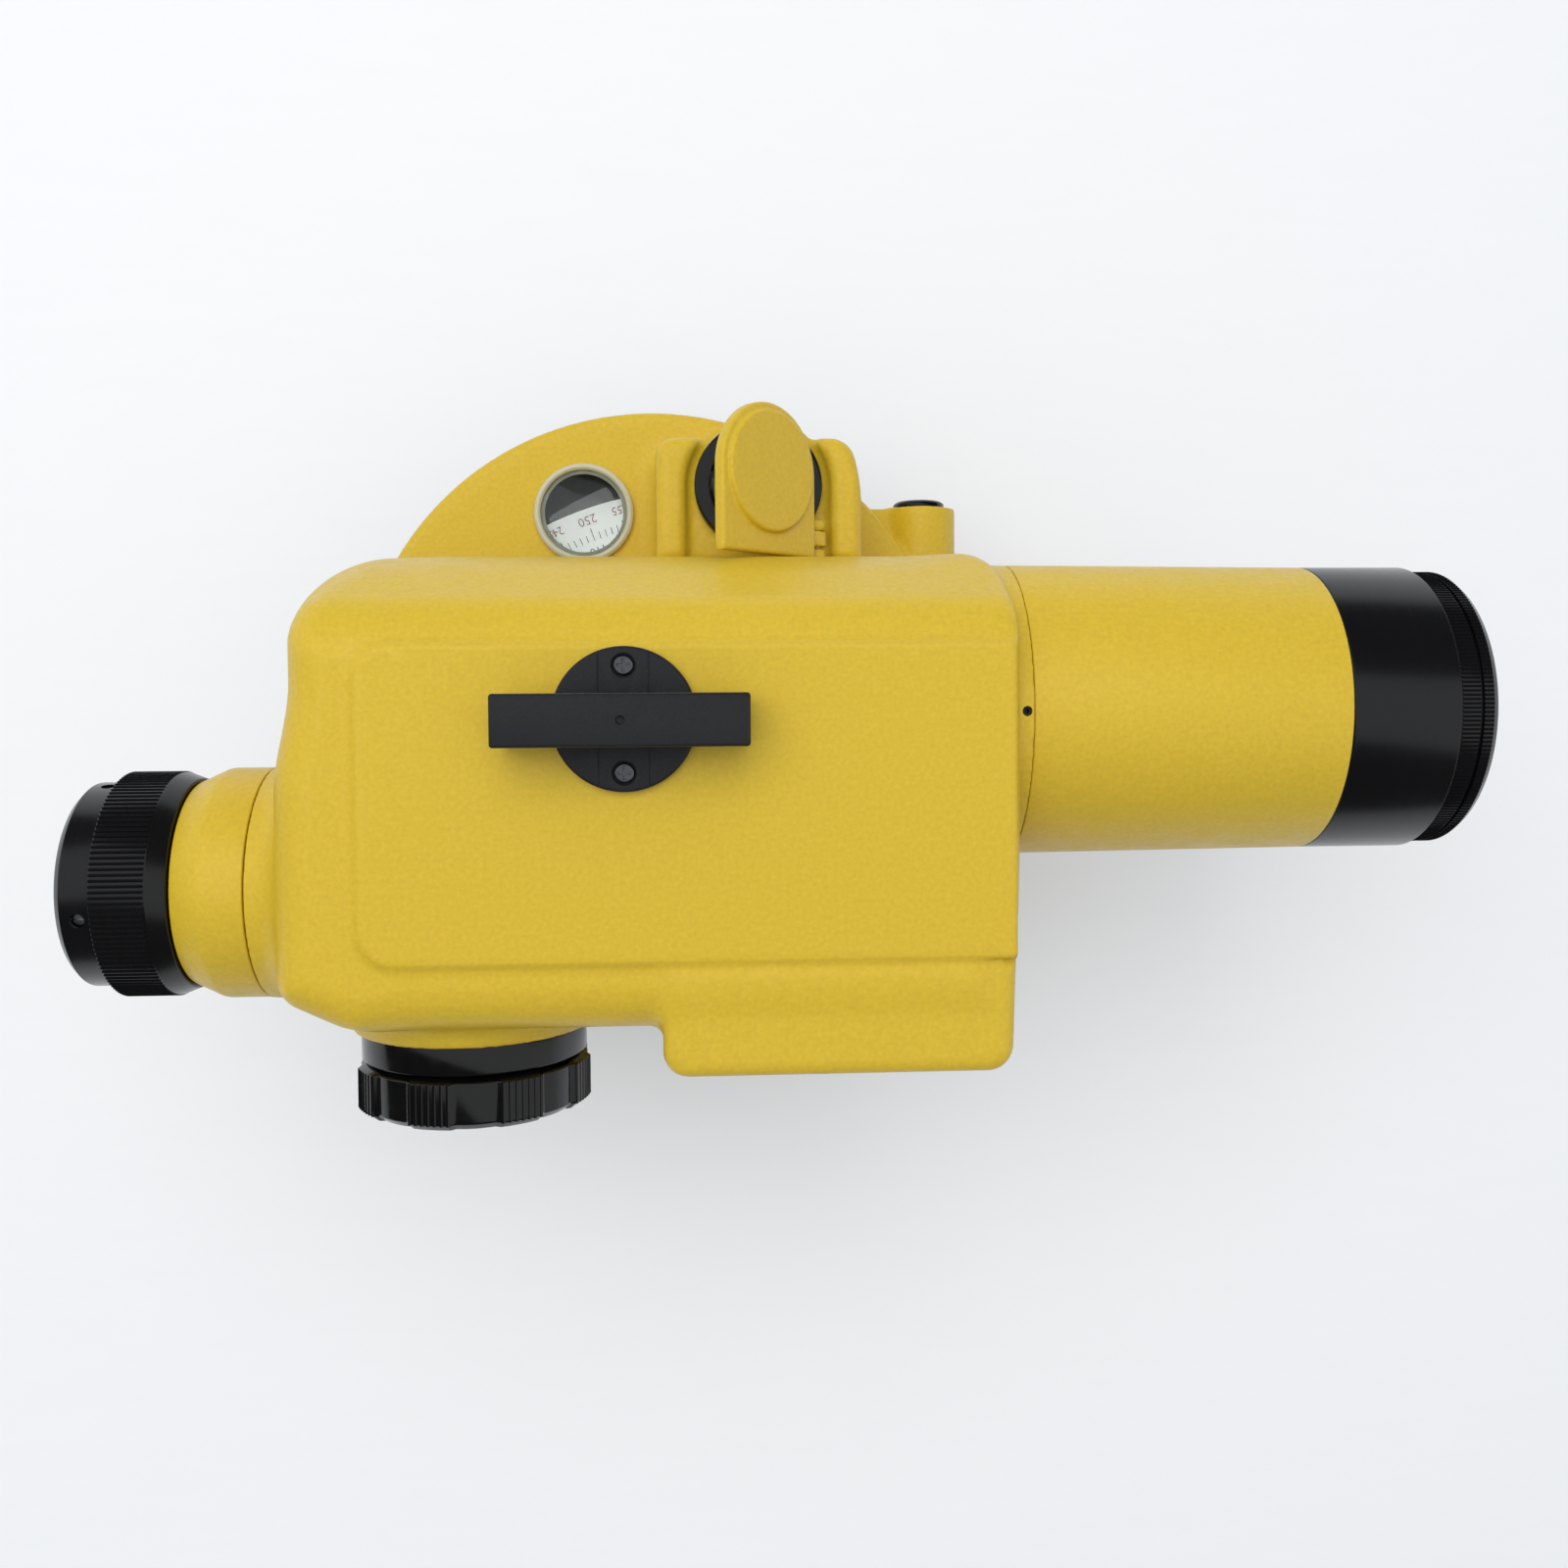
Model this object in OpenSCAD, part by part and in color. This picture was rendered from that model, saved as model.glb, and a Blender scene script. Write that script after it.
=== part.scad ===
// Automatic level on its three foot screws, in millimetres.
// Origin: centre of the tripod thread in the base plate's underside.
// +X is the line of sight towards the staff, +Y the observer's left, +Z up.

/* [Telescope] */
// Height of the line of sight above the tripod head
axis_h = 105; // [104:0.5:110]
// Radius of the objective tube
tube_r = 28; // [27:0.5:29]
// Wall of the objective tube down to its spigots
tube_wall = 2.6; // [2:0.2:3]
// Wall of a spigot
spigot_wall = 2.2; // [1.6:0.2:2.6]
// Joint of the objective tube, ahead of the vertical axis
tube_start = 70.4; // [69:0.2:76]
// Length of the objective tube
tube_length = 59; // [50:1:70]
// Depth of the spigots at both ends of the tube
spigot = 10; // [8:0.5:12]
// Length of the objective ring
ring_length = 21.6; // [20:0.2:26]
// Length of the knurled front ring
front_ring_length = 6.5; // [5:0.5:9]
// Radius of the knurled front ring
front_ring_r = 26.3; // [25:0.1:27.5]
// Radius of the objective lenses
lens_r = 22.5; // [20:0.5:22.5]
// Radius of the screw that locks the tube
lock_screw_r = 1.7; // [1:0.1:2]

/* [Main housing] */
// Rear wall, behind the vertical axis
body_rear = 63; // [62:0.5:66]
// Front wall, ahead of the vertical axis
body_front = 66; // [65:0.5:69]
// Right wall, from the line of sight
body_right = 57; // [56.5:0.5:59]
// Left wall, from the line of sight
body_left = 30.6; // [29:0.2:30.6]
// Top, above the line of sight
body_top = 33.5; // [32.5:0.5:36]
// Bottom, below the line of sight
body_bottom = 34; // [33:0.5:34]
// Wall of the casting
wall = 3; // [2.4:0.2:3.4]
// Lean of the rear wall over half the height
rear_draft = 2; // [0:0.5:3]
// Top of the sloping side, left of the line of sight
slope_top = 17.5; // [14:0.5:20]
// Foot of the sloping side, above the line of sight
slope_foot = 8; // [4:1:12]
// Radius of the long right top edge
edge_r = 8.5; // [6:0.5:10]
// Radius of the two rear corners seen from above
rear_corner_r = 13; // [8:1:14]
// Rear end of the raised top panel
panel_rear = 48.8; // [44:0.5:52]
// Right side of the raised panel
panel_right = 43.5; // [38:0.5:45]
// Left side of the raised panel
panel_left = 12.5; // [12.5:0.5:15]
// Height of the raised panel
panel_step = 1; // [0.6:0.1:1.5]
// Radius of the panel's corners
panel_corner_r = 6.5; // [3:0.5:10]
// Rear end of the bulge on the right, ahead of the vertical axis
bulge_rear = 4; // [0:1:8]
// Reach of the bulge, from the line of sight
bulge_out = 63.4; // [61:0.2:64]
// Thickness of the bottom cover
cover_t = 3; // [2:0.2:3]
// Radius of the cover screws
cover_screw_r = 1.5; // [1.2:0.1:2]

/* [Eyepiece] */
// Sideways offset of the eyepiece to the right
eyepiece_side = 32.3; // [31:0.1:33]
// Radius of the eyepiece boss on the housing
eyepiece_boss_r = 22.3; // [21.5:0.1:23]
// Joint of the eyepiece barrel, behind the vertical axis
eyepiece_joint = 71.6; // [70:0.2:74]
// Length of the eyepiece barrel
barrel_length = 14.4; // [12:0.2:17]
// Radius of the barrel's spigot in the housing
barrel_spigot_r = 17; // [16:0.2:18]
// Radius of the sleeve that the diopter ring turns on
sleeve_r = 14; // [13.6:0.2:15]
// Length of that sleeve
sleeve_length = 11; // [9:0.5:12]
// Radius of the eyepiece cell
cell_r = 11.9; // [10:0.1:12]
// Radius of the diopter ring's knurled band
diopter_r = 21.8; // [21:0.1:23]
// Radius of the diopter ring's plain end
diopter_end_r = 19.5; // [18:0.1:20]
// Length of the diopter ring
diopter_length = 19.8; // [18.4:0.2:23]
// Radius of the eye opening
eye_r = 8.5; // [7:0.1:10]
// Radius of the diopter ring's set screws
diopter_screw_r = 1.3; // [1:0.1:1.5]

/* [Focusing] */
// Focusing shaft, behind the vertical axis
focus_rear = 34.5; // [32:0.5:36]
// Focusing shaft, below the line of sight
focus_drop = 2; // [0:0.5:4]
// Face of the focusing boss, from the line of sight
focus_face = 60.8; // [60:0.2:62]
// Radius of the focusing boss at its face
focus_boss_r = 23; // [22.6:0.1:24]
// Radius of the smooth collar
collar_r = 21.7; // [20:0.1:22]
// Length of the smooth collar
collar_length = 5.5; // [4:0.1:8]
// Radius of the focusing knob over its lobes
knob_r = 22.4; // [21:0.1:24]
// Length of the focusing knob
knob_length = 9.7; // [8:0.1:14]
// Number of lobes on the focusing knob
knob_lobes = 8; // [6:1:10]
// Height of a lobe
lobe_step = 1; // [0.6:0.1:1.5]
// Radius of the focusing shaft
focus_shaft_r = 2.2; // [1.8:0.1:2.3]
// Travel of the focusing lens, each way
focus_travel = 10; // [6:0.5:10]
// Radius of the focusing lens
focus_lens_r = 12; // [10:0.5:12.5]
// Radius of the guide rods
rod_r = 2; // [1.5:0.1:2.5]

/* [Peep sight] */
// Centre of the sight, behind the vertical axis
sight_rear = 2.5; // [0:0.5:5]
// Radius of the sight's foot
sight_foot_r = 12.5; // [12:0.1:14]
// Height of the sight's foot
sight_foot_h = 2.2; // [1.6:0.1:3]
// Length of the sight's bar
sight_length = 42.7; // [36:0.1:48]
// Width of the sight's bar
sight_w = 8.6; // [7.6:0.1:10]
// Height of the sight's bar
sight_h = 10.3; // [9:0.1:12]
// Side of the square tunnel through the bar
tunnel = 5; // [4.6:0.1:5.6]
// Offset of the sight's two screws
sight_screw_y = 9.2; // [8.8:0.1:9.8]
// Radius of the screw heads
sight_head_r = 1.75; // [1.5:0.05:2]

/* [Vial and mirror] */
// Centre of the vial, ahead of the vertical axis
vial_x = 22.8; // [21:0.2:24]
// Centre of the vial, left of the line of sight
vial_y = 47.2; // [46.4:0.2:48]
// Radius of the vial's ring
vial_r = 13.4; // [12:0.1:13.8]
// Height of the vial's ring
vial_h = 10; // [8:0.5:12]
// Top of the vial, below the line of sight
vial_drop = 18; // [17:0.5:19]
// Radius of the vial's glass
glass_r = 9.5; // [8:0.1:10.5]
// Outer side of the block that carries the vial
block_out = 56.2; // [55:0.2:58]
// Thickness of the block's two cheeks
cheek = 7.2; // [6:0.2:8]
// Hinge pin of the mirror, ahead of the vertical axis
hinge_x = 34.5; // [34:0.1:35]
// Hinge pin of the mirror, below the line of sight
hinge_drop = 15; // [14.8:0.1:15]
// Radius of the hinge pin
hinge_pin_r = 0.8; // [0.6:0.05:1]
// Width of the mirror holder, from its hinge to its free edge
holder_w = 28.7; // [27:0.1:30]
// Thickness of the mirror holder
holder_t = 3.2; // [2.8:0.1:3.6]
// Radius of the mirror
mirror_r = 12; // [10:0.1:12.4]
// Opening angle of the mirror as it stands
mirror_angle = 45; // [43:1:60]

/* [Base housing] */
// Radius of the round base housing
disc_r = 67.2; // [66.4:0.2:68]
// Top of the base housing, above the tripod head
disc_top = 62; // [61.6:0.1:62]
// Lower rim of the base housing
disc_rim = 42; // [41.8:0.1:42.4]
// Wall of the base housing
disc_wall = 3.2; // [2.6:0.1:3.4]
// Radius of the pedestal under the main housing
pedestal_r = 29; // [24:1:30]
// Centre of the loupe, behind the vertical axis
loupe_rear = 15.6; // [14:0.2:16]
// Centre of the loupe, left of the line of sight
loupe_y = 44.4; // [44:0.2:46]
// Outer radius of the loupe's rim
loupe_r = 10.9; // [10:0.1:11.5]
// Height of the loupe's rim
loupe_h = 2; // [1:0.2:3]
// Radius of the loupe's lens
loupe_lens_r = 8.6; // [7.6:0.1:8.6]

/* [Tangent drive] */
// Tangent shaft, ahead of the vertical axis
tangent_x = 62; // [61.6:0.1:62.4]
// Tangent shaft, above the tripod head
tangent_z = 50.5; // [50.4:0.1:50.8]
// Radius of the tangent boss
tangent_boss_r = 8.4; // [8.2:0.1:8.4]
// Reach of the boss to either side
tangent_reach = 47.7; // [46:0.1:50]
// Radius of the bore for nut and plunger
tangent_bore_r = 6; // [5.6:0.1:6.1]
// Slow motion each way, in degrees
slow_range = 4.5; // [3:0.5:4.5]
// Radius of the tangent screw
tangent_screw_r = 3; // [2.4:0.1:3.2]
// Radius of the tangent knob
tangent_knob_r = 9.5; // [8.6:0.1:10]
// Length of the tangent knob
tangent_knob_length = 13; // [10:0.5:16]
// Half width of the friction arm's tip
arm_half = 3.5; // [3:0.1:3.8]
// Turns of the plunger's spring
spring_turns = 7; // [5:1:8]

/* [Circle and spindle] */
// Radius of the circle's setting ring
setting_r = 63.5; // [62:0.1:63.6]
// Outer radius of the graduated circle
circle_r = 54; // [53:0.5:54]
// Inner radius of the graduated circle
circle_bore_r = 38; // [34:0.5:40]
// Radius of the spindle where the circle turns on it
spindle_low_r = 13; // [12.6:0.1:13.6]
// Radius of the spindle where the friction arm grips it
spindle_mid_r = 11; // [10:0.1:11.6]
// Radius of the spindle in the base housing
spindle_top_r = 8; // [7:0.1:8.6]

/* [Base] */
// Wall radius of the 5/8 inch tripod thread
thread_r = 6.85; // [6.5:0.05:7.2]
// Thickness of the base plate
plate_t = 8; // [7.6:0.1:8]
// Length of the tripod thread
thread_length = 18; // [14:0.5:20]
// Distance of the foot screws from the vertical axis
foot_reach = 46; // [44:0.5:47]
// Radius of the foot screws' knobs
foot_knob_r = 14; // [12:0.5:14.5]
// Radius of the foot screws' stems
foot_stem_r = 4; // [3.5:0.1:4.5]
// Radius of the foot screws' balls
foot_ball_r = 4.5; // [4.3:0.1:4.7]
// Thickness of the spring plate
spring_plate_t = 1.2; // [1:0.1:1.4]
// Underside of the tribrach
tribrach_low = 26.5; // [26:0.1:27]
// Top of the tribrach
tribrach_top = 36.2; // [36:0.1:36.2]

/* [Fits] */
// Gap between pieces of different bodies
gap = 0.3; // [0.3:0.05:0.4]
// Radial play of a running fit
play = 0.05; // [0.03:0.01:0.08]
// Radial play of a fixed fit
seat = 0.02; // [0.01:0.01:0.04]

/* [Hidden] */
$fn = 96;
arc_step = 12;
over = 1;

yellow = "#d6b83e";
black = "#1c1c1e";
matt_black = "#2b2b2d";
steel = "#b9bcc0";
brass = "#b5954a";
glass = [0.75, 0.86, 0.88, 0.5];
milky = [0.88, 0.9, 0.86, 0.8];

// Telescope stations along the line of sight
tube_front = tube_start + tube_length;
ring_front = tube_front + ring_length;
mouth_front = ring_front + front_ring_length;
spigot_r = tube_r - tube_wall;
tube_bore_r = spigot_r - spigot_wall;
lens_lip = 1.5;
lens_edge = 4.5;
lens_seat_depth = 14;
rear_seat_depth = 4;

// Heights of the housing
roof_z = axis_h + body_top;
floor_z = axis_h - body_bottom;
panel_z = roof_z + panel_step;
cover_z = floor_z - cover_t;
slope_r = 5;
front_edge_r = 2;
rear_edge_r = 6;
bulge_corner_r = 6;
bulge_edge_r = 2.5;
bulge_drop = 1;
cover_inset = 1;
cover_head_r = 2.8;
cover_head_h = 1.7;
cover_boss_r = 5;
cover_boss_h = 12;

// Inner parts around the compensator
frame_half = 15;
frame_side = 24;
frame_neck = 17;
frame_post = 3;
frame_floor = 4;
frame_bridge_low = 20;
sill_top = -17;
sill_t = 6;
rod_y = 17;
rod_drop = 22;
rod_seat = 3;
pendulum_half = 8;
pendulum_side = 13;
pendulum_plate = 2.5;
pendulum_top = 12;
pendulum_low = -18;
damper_r = 5;
damper_cup_r = 6.2;
damper_cup_h = 8;
tape_t = 0.4;
tape_w = 2;
prism_aperture = 22;
prism_front = 22;

// Focusing gear
gear_module = 0.6;
pinion_teeth = 10;
pinion_r = gear_module * pinion_teeth / 2;
tooth_pitch = 3.14159265 * gear_module;
tooth_tip = 0.9 * gear_module;
tooth_root = 1.1 * gear_module;
tooth_half = 0.6 * gear_module;
tooth_lean = tan(20);
rack_right = 50;
rack_left = 46;
rack_body = 4;
rack_margin = 2.5;
carriage_x = 34;
carriage_half = 6;
carriage_r = 15;
focus_z = axis_h - focus_drop;

// Vial block and mirror
block_top = axis_h - vial_drop;
pocket_floor = block_top - vial_h;
block_rear = vial_x - vial_r - 1 - cheek;
block_front = vial_x + vial_r + 1 + cheek;
body_gap = 0.4;
hinge_z = axis_h - hinge_drop;
knuckle_r = 2.1;
lug_r = 2.3;
lug_w = 2.6;
plate_lift = 0.4;
mirror_t = 1.6;
mirror_proud = 0.8;
holder_start = body_left + 1;
holder_end_r = holder_w / 2;
holder_gap = lug_r + gap;
holder_centre_y = vial_y + 0.15;

// Spindle stack, from below
carrier_low = tribrach_top + 0.6;
flange_top = carrier_low - gap;
shoulder_low = 44.5;
circle_z = 44;
circle_t = 1.5;
friction_low = 46.5;
friction_top = 54;
hub_low = friction_top + gap;
nut_low = 64.3;
nut_top = 67;
nut_r = 11;
stub_r = 5;

// Tangent stack, from the arm outwards
slow_travel = tangent_x * slow_range * 3.14159265 / 180;
tip_r = 2;
tip_taper = 2.2;
slider_length = 16;
slider_bore = 13;
slider_r = tangent_bore_r - play;
bush_length = 9.7;
window_half = arm_half + slow_travel + 2;
cap_r = 6.1;
cap_h = 1.8;
cap_slot = 1.2;

// Foot screws and base plate
foot_angles = [90, 210, 330];
plate_screw_angles = [30, 150, 270];
ball_z = 6.2;
knob_low = 11;
knob_high = 24.5;
foot_corner_r = 14;
spring_corner_r = 9.5;
tribrach_corner_r = 10.5;
bush_r = 7.6;

// Unit vector of v
function unit(v) = v / norm(v);

// Arc that rounds the corner b between a and c with radius r
function corner(a, b, c, r) =
    let (
        u = unit(a - b),
        v = unit(c - b),
        half = acos(u * v) / 2,
        centre = b + unit(u + v) * r / sin(half),
        p = b + u * r / tan(half) - centre,
        q = b + v * r / tan(half) - centre,
        start = atan2(p.y, p.x),
        turn = (atan2(q.y, q.x) - start + 540) % 360 - 180,
        steps = ceil(abs(turn) / arc_step)
    )
    [for (i = [0:steps]) let (angle = start + turn * i / steps) centre + r * [cos(angle), sin(angle)]];

// Outline from points [x, y, corner radius]
function rounded(points) =
    let (count = len(points))
    [for (i = [0:count - 1])
        let (a = points[(i + count - 1) % count], b = points[i], c = points[(i + 1) % count])
        each b.z > 0 ? corner([a.x, a.y], [b.x, b.y], [c.x, c.y], b.z) : [[b.x, b.y]]];

// Arc of a lens face with sagitta s over radius r, from the axis to the edge at height base
function lens_face(r, s, base) =
    let (big = (r * r + s * s) / (2 * abs(s)), side = s > 0 ? 1 : -1)
    [for (i = [0:8]) let (x = r * i / 8) [x, base + side * (sqrt(big * big - x * x) - (big - abs(s)))]];

// Cylinder or cone along X
module along_x(x0, x1, y, z, r1, r2 = -1) {
    translate([x0, y, z])
        rotate([0, 90, 0])
            cylinder(h = x1 - x0, r1 = r1, r2 = r2 < 0 ? r1 : r2);
}

// Cylinder or cone along Y
module along_y(y0, y1, x, z, r1, r2 = -1) {
    translate([x, y0, z])
        rotate([-90, 0, 0])
            cylinder(h = y1 - y0, r1 = r1, r2 = r2 < 0 ? r1 : r2);
}

// Box between two opposite corners
module block(low, high) {
    translate(low)
        cube(high - low);
}

// Outline in Y and Z drawn out along X
module pulled_x(x0, x1, points) {
    translate([x0, 0, 0])
        rotate([90, 0, 90])
            linear_extrude(height = x1 - x0)
                polygon(points);
}

// Outline in X and Z drawn out along Y
module pulled_y(y0, y1, points) {
    translate([0, y1, 0])
        rotate([90, 0, 0])
            linear_extrude(height = y1 - y0)
                polygon(points);
}

// Profile of [radius, x] points turned about an axis along X
module turned_x(y, z, points) {
    translate([0, y, z])
        rotate([0, 90, 0])
            rotate_extrude()
                polygon(points);
}

// Ring about the vertical axis
module ring_z(z0, z1, outer, inner) {
    difference() {
        translate([0, 0, z0])
            cylinder(h = z1 - z0, r = outer);
        translate([0, 0, z0 - over])
            cylinder(h = z1 - z0 + 2 * over, r = inner);
    }
}

// Copies at the three foot screws
module at_feet(angles) {
    for (angle = angles)
        rotate([0, 0, angle])
            translate([foot_reach, 0, 0])
                children();
}

// Three-cornered plate, its round corners centred on the foot screws
module three_corners(corner_r) {
    polygon(rounded([for (angle = foot_angles) [
        (foot_reach + 2 * corner_r) * cos(angle), (foot_reach + 2 * corner_r) * sin(angle), corner_r
    ]]));
}

// Base plate with the tripod thread and the ball sockets
module base_plate() {
    socket_r = foot_ball_r + 0.1;
    color(matt_black)
        difference() {
            union() {
                linear_extrude(height = plate_t)
                    three_corners(foot_corner_r);
                cylinder(h = thread_length, r = 17);
            }
            translate([0, 0, -over])
                cylinder(h = thread_length + 2 * over, r = thread_r);
            at_feet(foot_angles) {
                translate([0, 0, ball_z])
                    sphere(r = socket_r);
                translate([0, 0, ball_z])
                    cylinder(h = plate_t, r = socket_r);
            }
            plate_screw_places()
                translate([0, 0, plate_t - 5])
                    cylinder(h = 5 + over, r = 1.25 + seat);
        }
}

// Places of the screws that hold the spring plate
module plate_screw_places() {
    for (angle = plate_screw_angles)
        rotate([0, 0, angle])
            translate([26, 0, 0])
                children();
}

// Thin plate that keeps the balls in their sockets
module spring_plate() {
    color(steel)
        difference() {
            translate([0, 0, plate_t])
                linear_extrude(height = spring_plate_t)
                    three_corners(spring_corner_r);
            translate([0, 0, plate_t - over])
                cylinder(h = spring_plate_t + 2 * over, r = 17.2);
            at_feet(foot_angles)
                translate([0, 0, plate_t - over])
                    cylinder(h = spring_plate_t + 2 * over, r = neck_hole_r());
            plate_screw_places()
                translate([0, 0, plate_t - over])
                    cylinder(h = spring_plate_t + 2 * over, r = 1.25 + seat);
        }
}

// Hole round the ball where it meets the spring plate
function neck_hole_r() = sqrt(pow(foot_ball_r, 2) - pow(plate_t - ball_z, 2)) + 0.12;

// Three small screws of the spring plate
module spring_plate_screws() {
    color(steel)
        plate_screw_places() {
            translate([0, 0, plate_t - 4])
                cylinder(h = 4 + spring_plate_t, r = 1.25);
            translate([0, 0, plate_t + spring_plate_t])
                cylinder(h = 1.2, r = 2.4);
        }
}

// Three-armed body that the foot screws lift
module tribrach() {
    color(matt_black)
        difference() {
            translate([0, 0, tribrach_low])
                linear_extrude(height = tribrach_top - tribrach_low)
                    three_corners(tribrach_corner_r);
            at_feet(foot_angles)
                translate([0, 0, tribrach_low - over])
                    cylinder(h = tribrach_top, r = bush_r + seat);
            translate([0, 0, tribrach_low + 3])
                cylinder(h = tribrach_top, r = 20 + seat);
        }
}

// Threaded bushes of the foot screws
module foot_bushes() {
    color(brass)
        at_feet(foot_angles)
            ring_z(tribrach_low, tribrach_top, bush_r, foot_stem_r + play);
}

// Vertical axis of the instrument, fixed in the tribrach
module spindle() {
    color(steel)
        rotate_extrude()
            polygon([
                [0, tribrach_low + 3],
                [20, tribrach_low + 3],
                [20, flange_top],
                [spindle_low_r, flange_top],
                [spindle_low_r, shoulder_low],
                [spindle_mid_r, shoulder_low],
                [spindle_mid_r, friction_top],
                [spindle_top_r, friction_top],
                [spindle_top_r, nut_low],
                [stub_r, nut_low],
                [stub_r, nut_top],
                [0, nut_top]
            ]);
}

// Nut that keeps the base housing on the spindle
module spindle_nut() {
    color(brass)
        difference() {
            ring_z(nut_low, nut_top, nut_r, stub_r + seat);
            for (side = [-1, 1])
                translate([side * 8, 0, nut_low + 1])
                    cylinder(h = nut_top, r = 1.2);
        }
}

// Foot screw: ball, fluted knob and stem
module foot_screw(angle) {
    neck_r = 2.6;
    neck_z = ball_z + sqrt(pow(foot_ball_r, 2) - pow(neck_r, 2)) - 0.5;
    flutes = 18;
    color(black)
        rotate([0, 0, angle])
            translate([foot_reach, 0, 0]) {
                translate([0, 0, ball_z])
                    sphere(r = foot_ball_r);
                translate([0, 0, neck_z])
                    cylinder(h = knob_low + 0.5 - neck_z, r = neck_r);
                translate([0, 0, knob_low])
                    difference() {
                        cylinder(h = knob_high - knob_low, r = foot_knob_r);
                        for (i = [0:flutes - 1])
                            rotate([0, 0, i * 360 / flutes])
                                translate([foot_knob_r + 1, 0, -over])
                                    cylinder(h = knob_high, r = 1.8);
                    }
                translate([0, 0, knob_high - 0.5])
                    cylinder(h = tribrach_top - 0.4 - knob_high + 0.5, r = foot_stem_r);
            }
}

// Setting ring with the web and upstand that carry the circle
module circle_carrier() {
    upstand_r = 52;
    rim_top = disc_rim - 0.4;
    color(black)
        rotate_extrude()
            polygon([
                [spindle_low_r + play, carrier_low],
                [setting_r - 1, carrier_low],
                [setting_r, carrier_low + 1],
                [setting_r, rim_top - 1],
                [setting_r - 1, rim_top],
                [setting_r - 7, rim_top],
                [setting_r - 7, carrier_low + 2.5],
                [upstand_r, carrier_low + 2.5],
                [upstand_r, circle_z],
                [upstand_r - 3, circle_z],
                [upstand_r - 3, carrier_low + 2.5],
                [spindle_low_r + 5, carrier_low + 2.5],
                [spindle_low_r + 5, circle_z - 0.5],
                [spindle_low_r + play, circle_z - 0.5]
            ]);
}

// Graduated circle
module horizontal_circle() {
    color("white")
        ring_z(circle_z, circle_z + circle_t, circle_r, circle_bore_r);
}

// Split ring that grips the spindle, with the arm of the slow motion
module friction_arm() {
    ring_r = 19;
    arm_low = 47;
    tip_x = tangent_x - 5;
    color(steel)
        difference() {
            union() {
                translate([0, 0, friction_low])
                    cylinder(h = friction_top - friction_low, r = ring_r);
                translate([0, 0, arm_low])
                    linear_extrude(height = friction_top - arm_low)
                        polygon([
                            [0, -8], [tip_x - 6, -5], [tip_x, -arm_half], [tangent_x + 4, -arm_half],
                            [tangent_x + 4, arm_half], [tip_x, arm_half], [tip_x - 6, 5], [0, 8]
                        ]);
                block([-27, -5, arm_low], [-ring_r + 4, 5, friction_top - 0.5]);
            }
            translate([0, 0, friction_low - over])
                cylinder(h = friction_top, r = spindle_mid_r + play);
            block([-28, -0.8, friction_low - over], [-spindle_mid_r + over, 0.8, friction_top + over]);
            along_y(-6, 6, -23, clamp_z(), 1.5 + seat);
        }
}

// Height of the clamp screw in the friction arm
function clamp_z() = (friction_low + friction_top) / 2;

// Screw that sets the grip of the friction arm
module friction_clamp_screw() {
    color(steel) {
        along_y(-5, 6, -23, clamp_z(), 1.5);
        along_y(-7, -5, -23, clamp_z(), 2.6);
    }
}

// Round base housing with pedestal, vial block and tangent boss
module base_housing() {
    edge = 1.5;
    color(yellow)
        difference() {
            union() {
                rotate_extrude()
                    polygon(concat(
                        [[0, hub_low], [14, hub_low], [14, disc_top - disc_wall],
                         [disc_r - disc_wall, disc_top - disc_wall], [disc_r - disc_wall, disc_rim],
                         [disc_r, disc_rim]],
                        corner([disc_r, disc_rim], [disc_r, disc_top], [pedestal_r, disc_top], edge),
                        [[pedestal_r, disc_top], [pedestal_r, cover_z], [0, cover_z]]
                    ));
                vial_block();
                along_y(-tangent_reach, tangent_reach, tangent_x, tangent_z, tangent_boss_r);
            }
            translate([0, 0, hub_low - over])
                cylinder(h = nut_low, r = spindle_top_r + play);
            translate([0, 0, nut_low - gap])
                cylinder(h = cover_z, r = nut_r + over);
            along_y(-tangent_reach - over, tangent_reach + over, tangent_x, tangent_z, tangent_bore_r);
            block([tangent_x - 16, -window_half, tangent_z - 4.5],
                  [tangent_x + 5, window_half, tangent_z + 4.5]);
            loupe_hole();
            along_y(holder_start - over, block_out + over, hinge_x, hinge_z, hinge_pin_r + seat);
        }
}

// Block with two cheeks that carries the vial and the mirror's hinge
module vial_block() {
    inner_y = body_left + body_gap;
    corner_r = 4;
    outline = rounded([
        [block_rear, inner_y, 0], [block_front, inner_y, 0],
        [block_front, block_out, corner_r], [block_rear, block_out, corner_r]
    ]);
    difference() {
        translate([0, 0, disc_top - over])
            linear_extrude(height = block_top - disc_top + over)
                polygon(outline);
        block([block_rear + cheek, inner_y - over, pocket_floor], [block_front - cheek, block_out + over, axis_h]);
    }
    translate([vial_x, vial_y, disc_top - over])
        cylinder(h = pocket_floor - disc_top + over, r = vial_r);
    for (y = [inner_y, block_out - lug_w]) {
        along_y(y, y + lug_w, hinge_x, hinge_z, lug_r);
        block([hinge_x, y, hinge_z - lug_r], [block_front - 1, y + lug_w, hinge_z + lug_r - 1]);
        block([block_front - cheek, y, block_top - over], [block_front - 1, y + lug_w, hinge_z]);
    }
}

// Stepped hole for the loupe
module loupe_hole() {
    translate([-loupe_rear, loupe_y, disc_top - disc_wall - over])
        cylinder(h = disc_wall + 2 * over, r = loupe_lens_r + 1 + seat);
}

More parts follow.
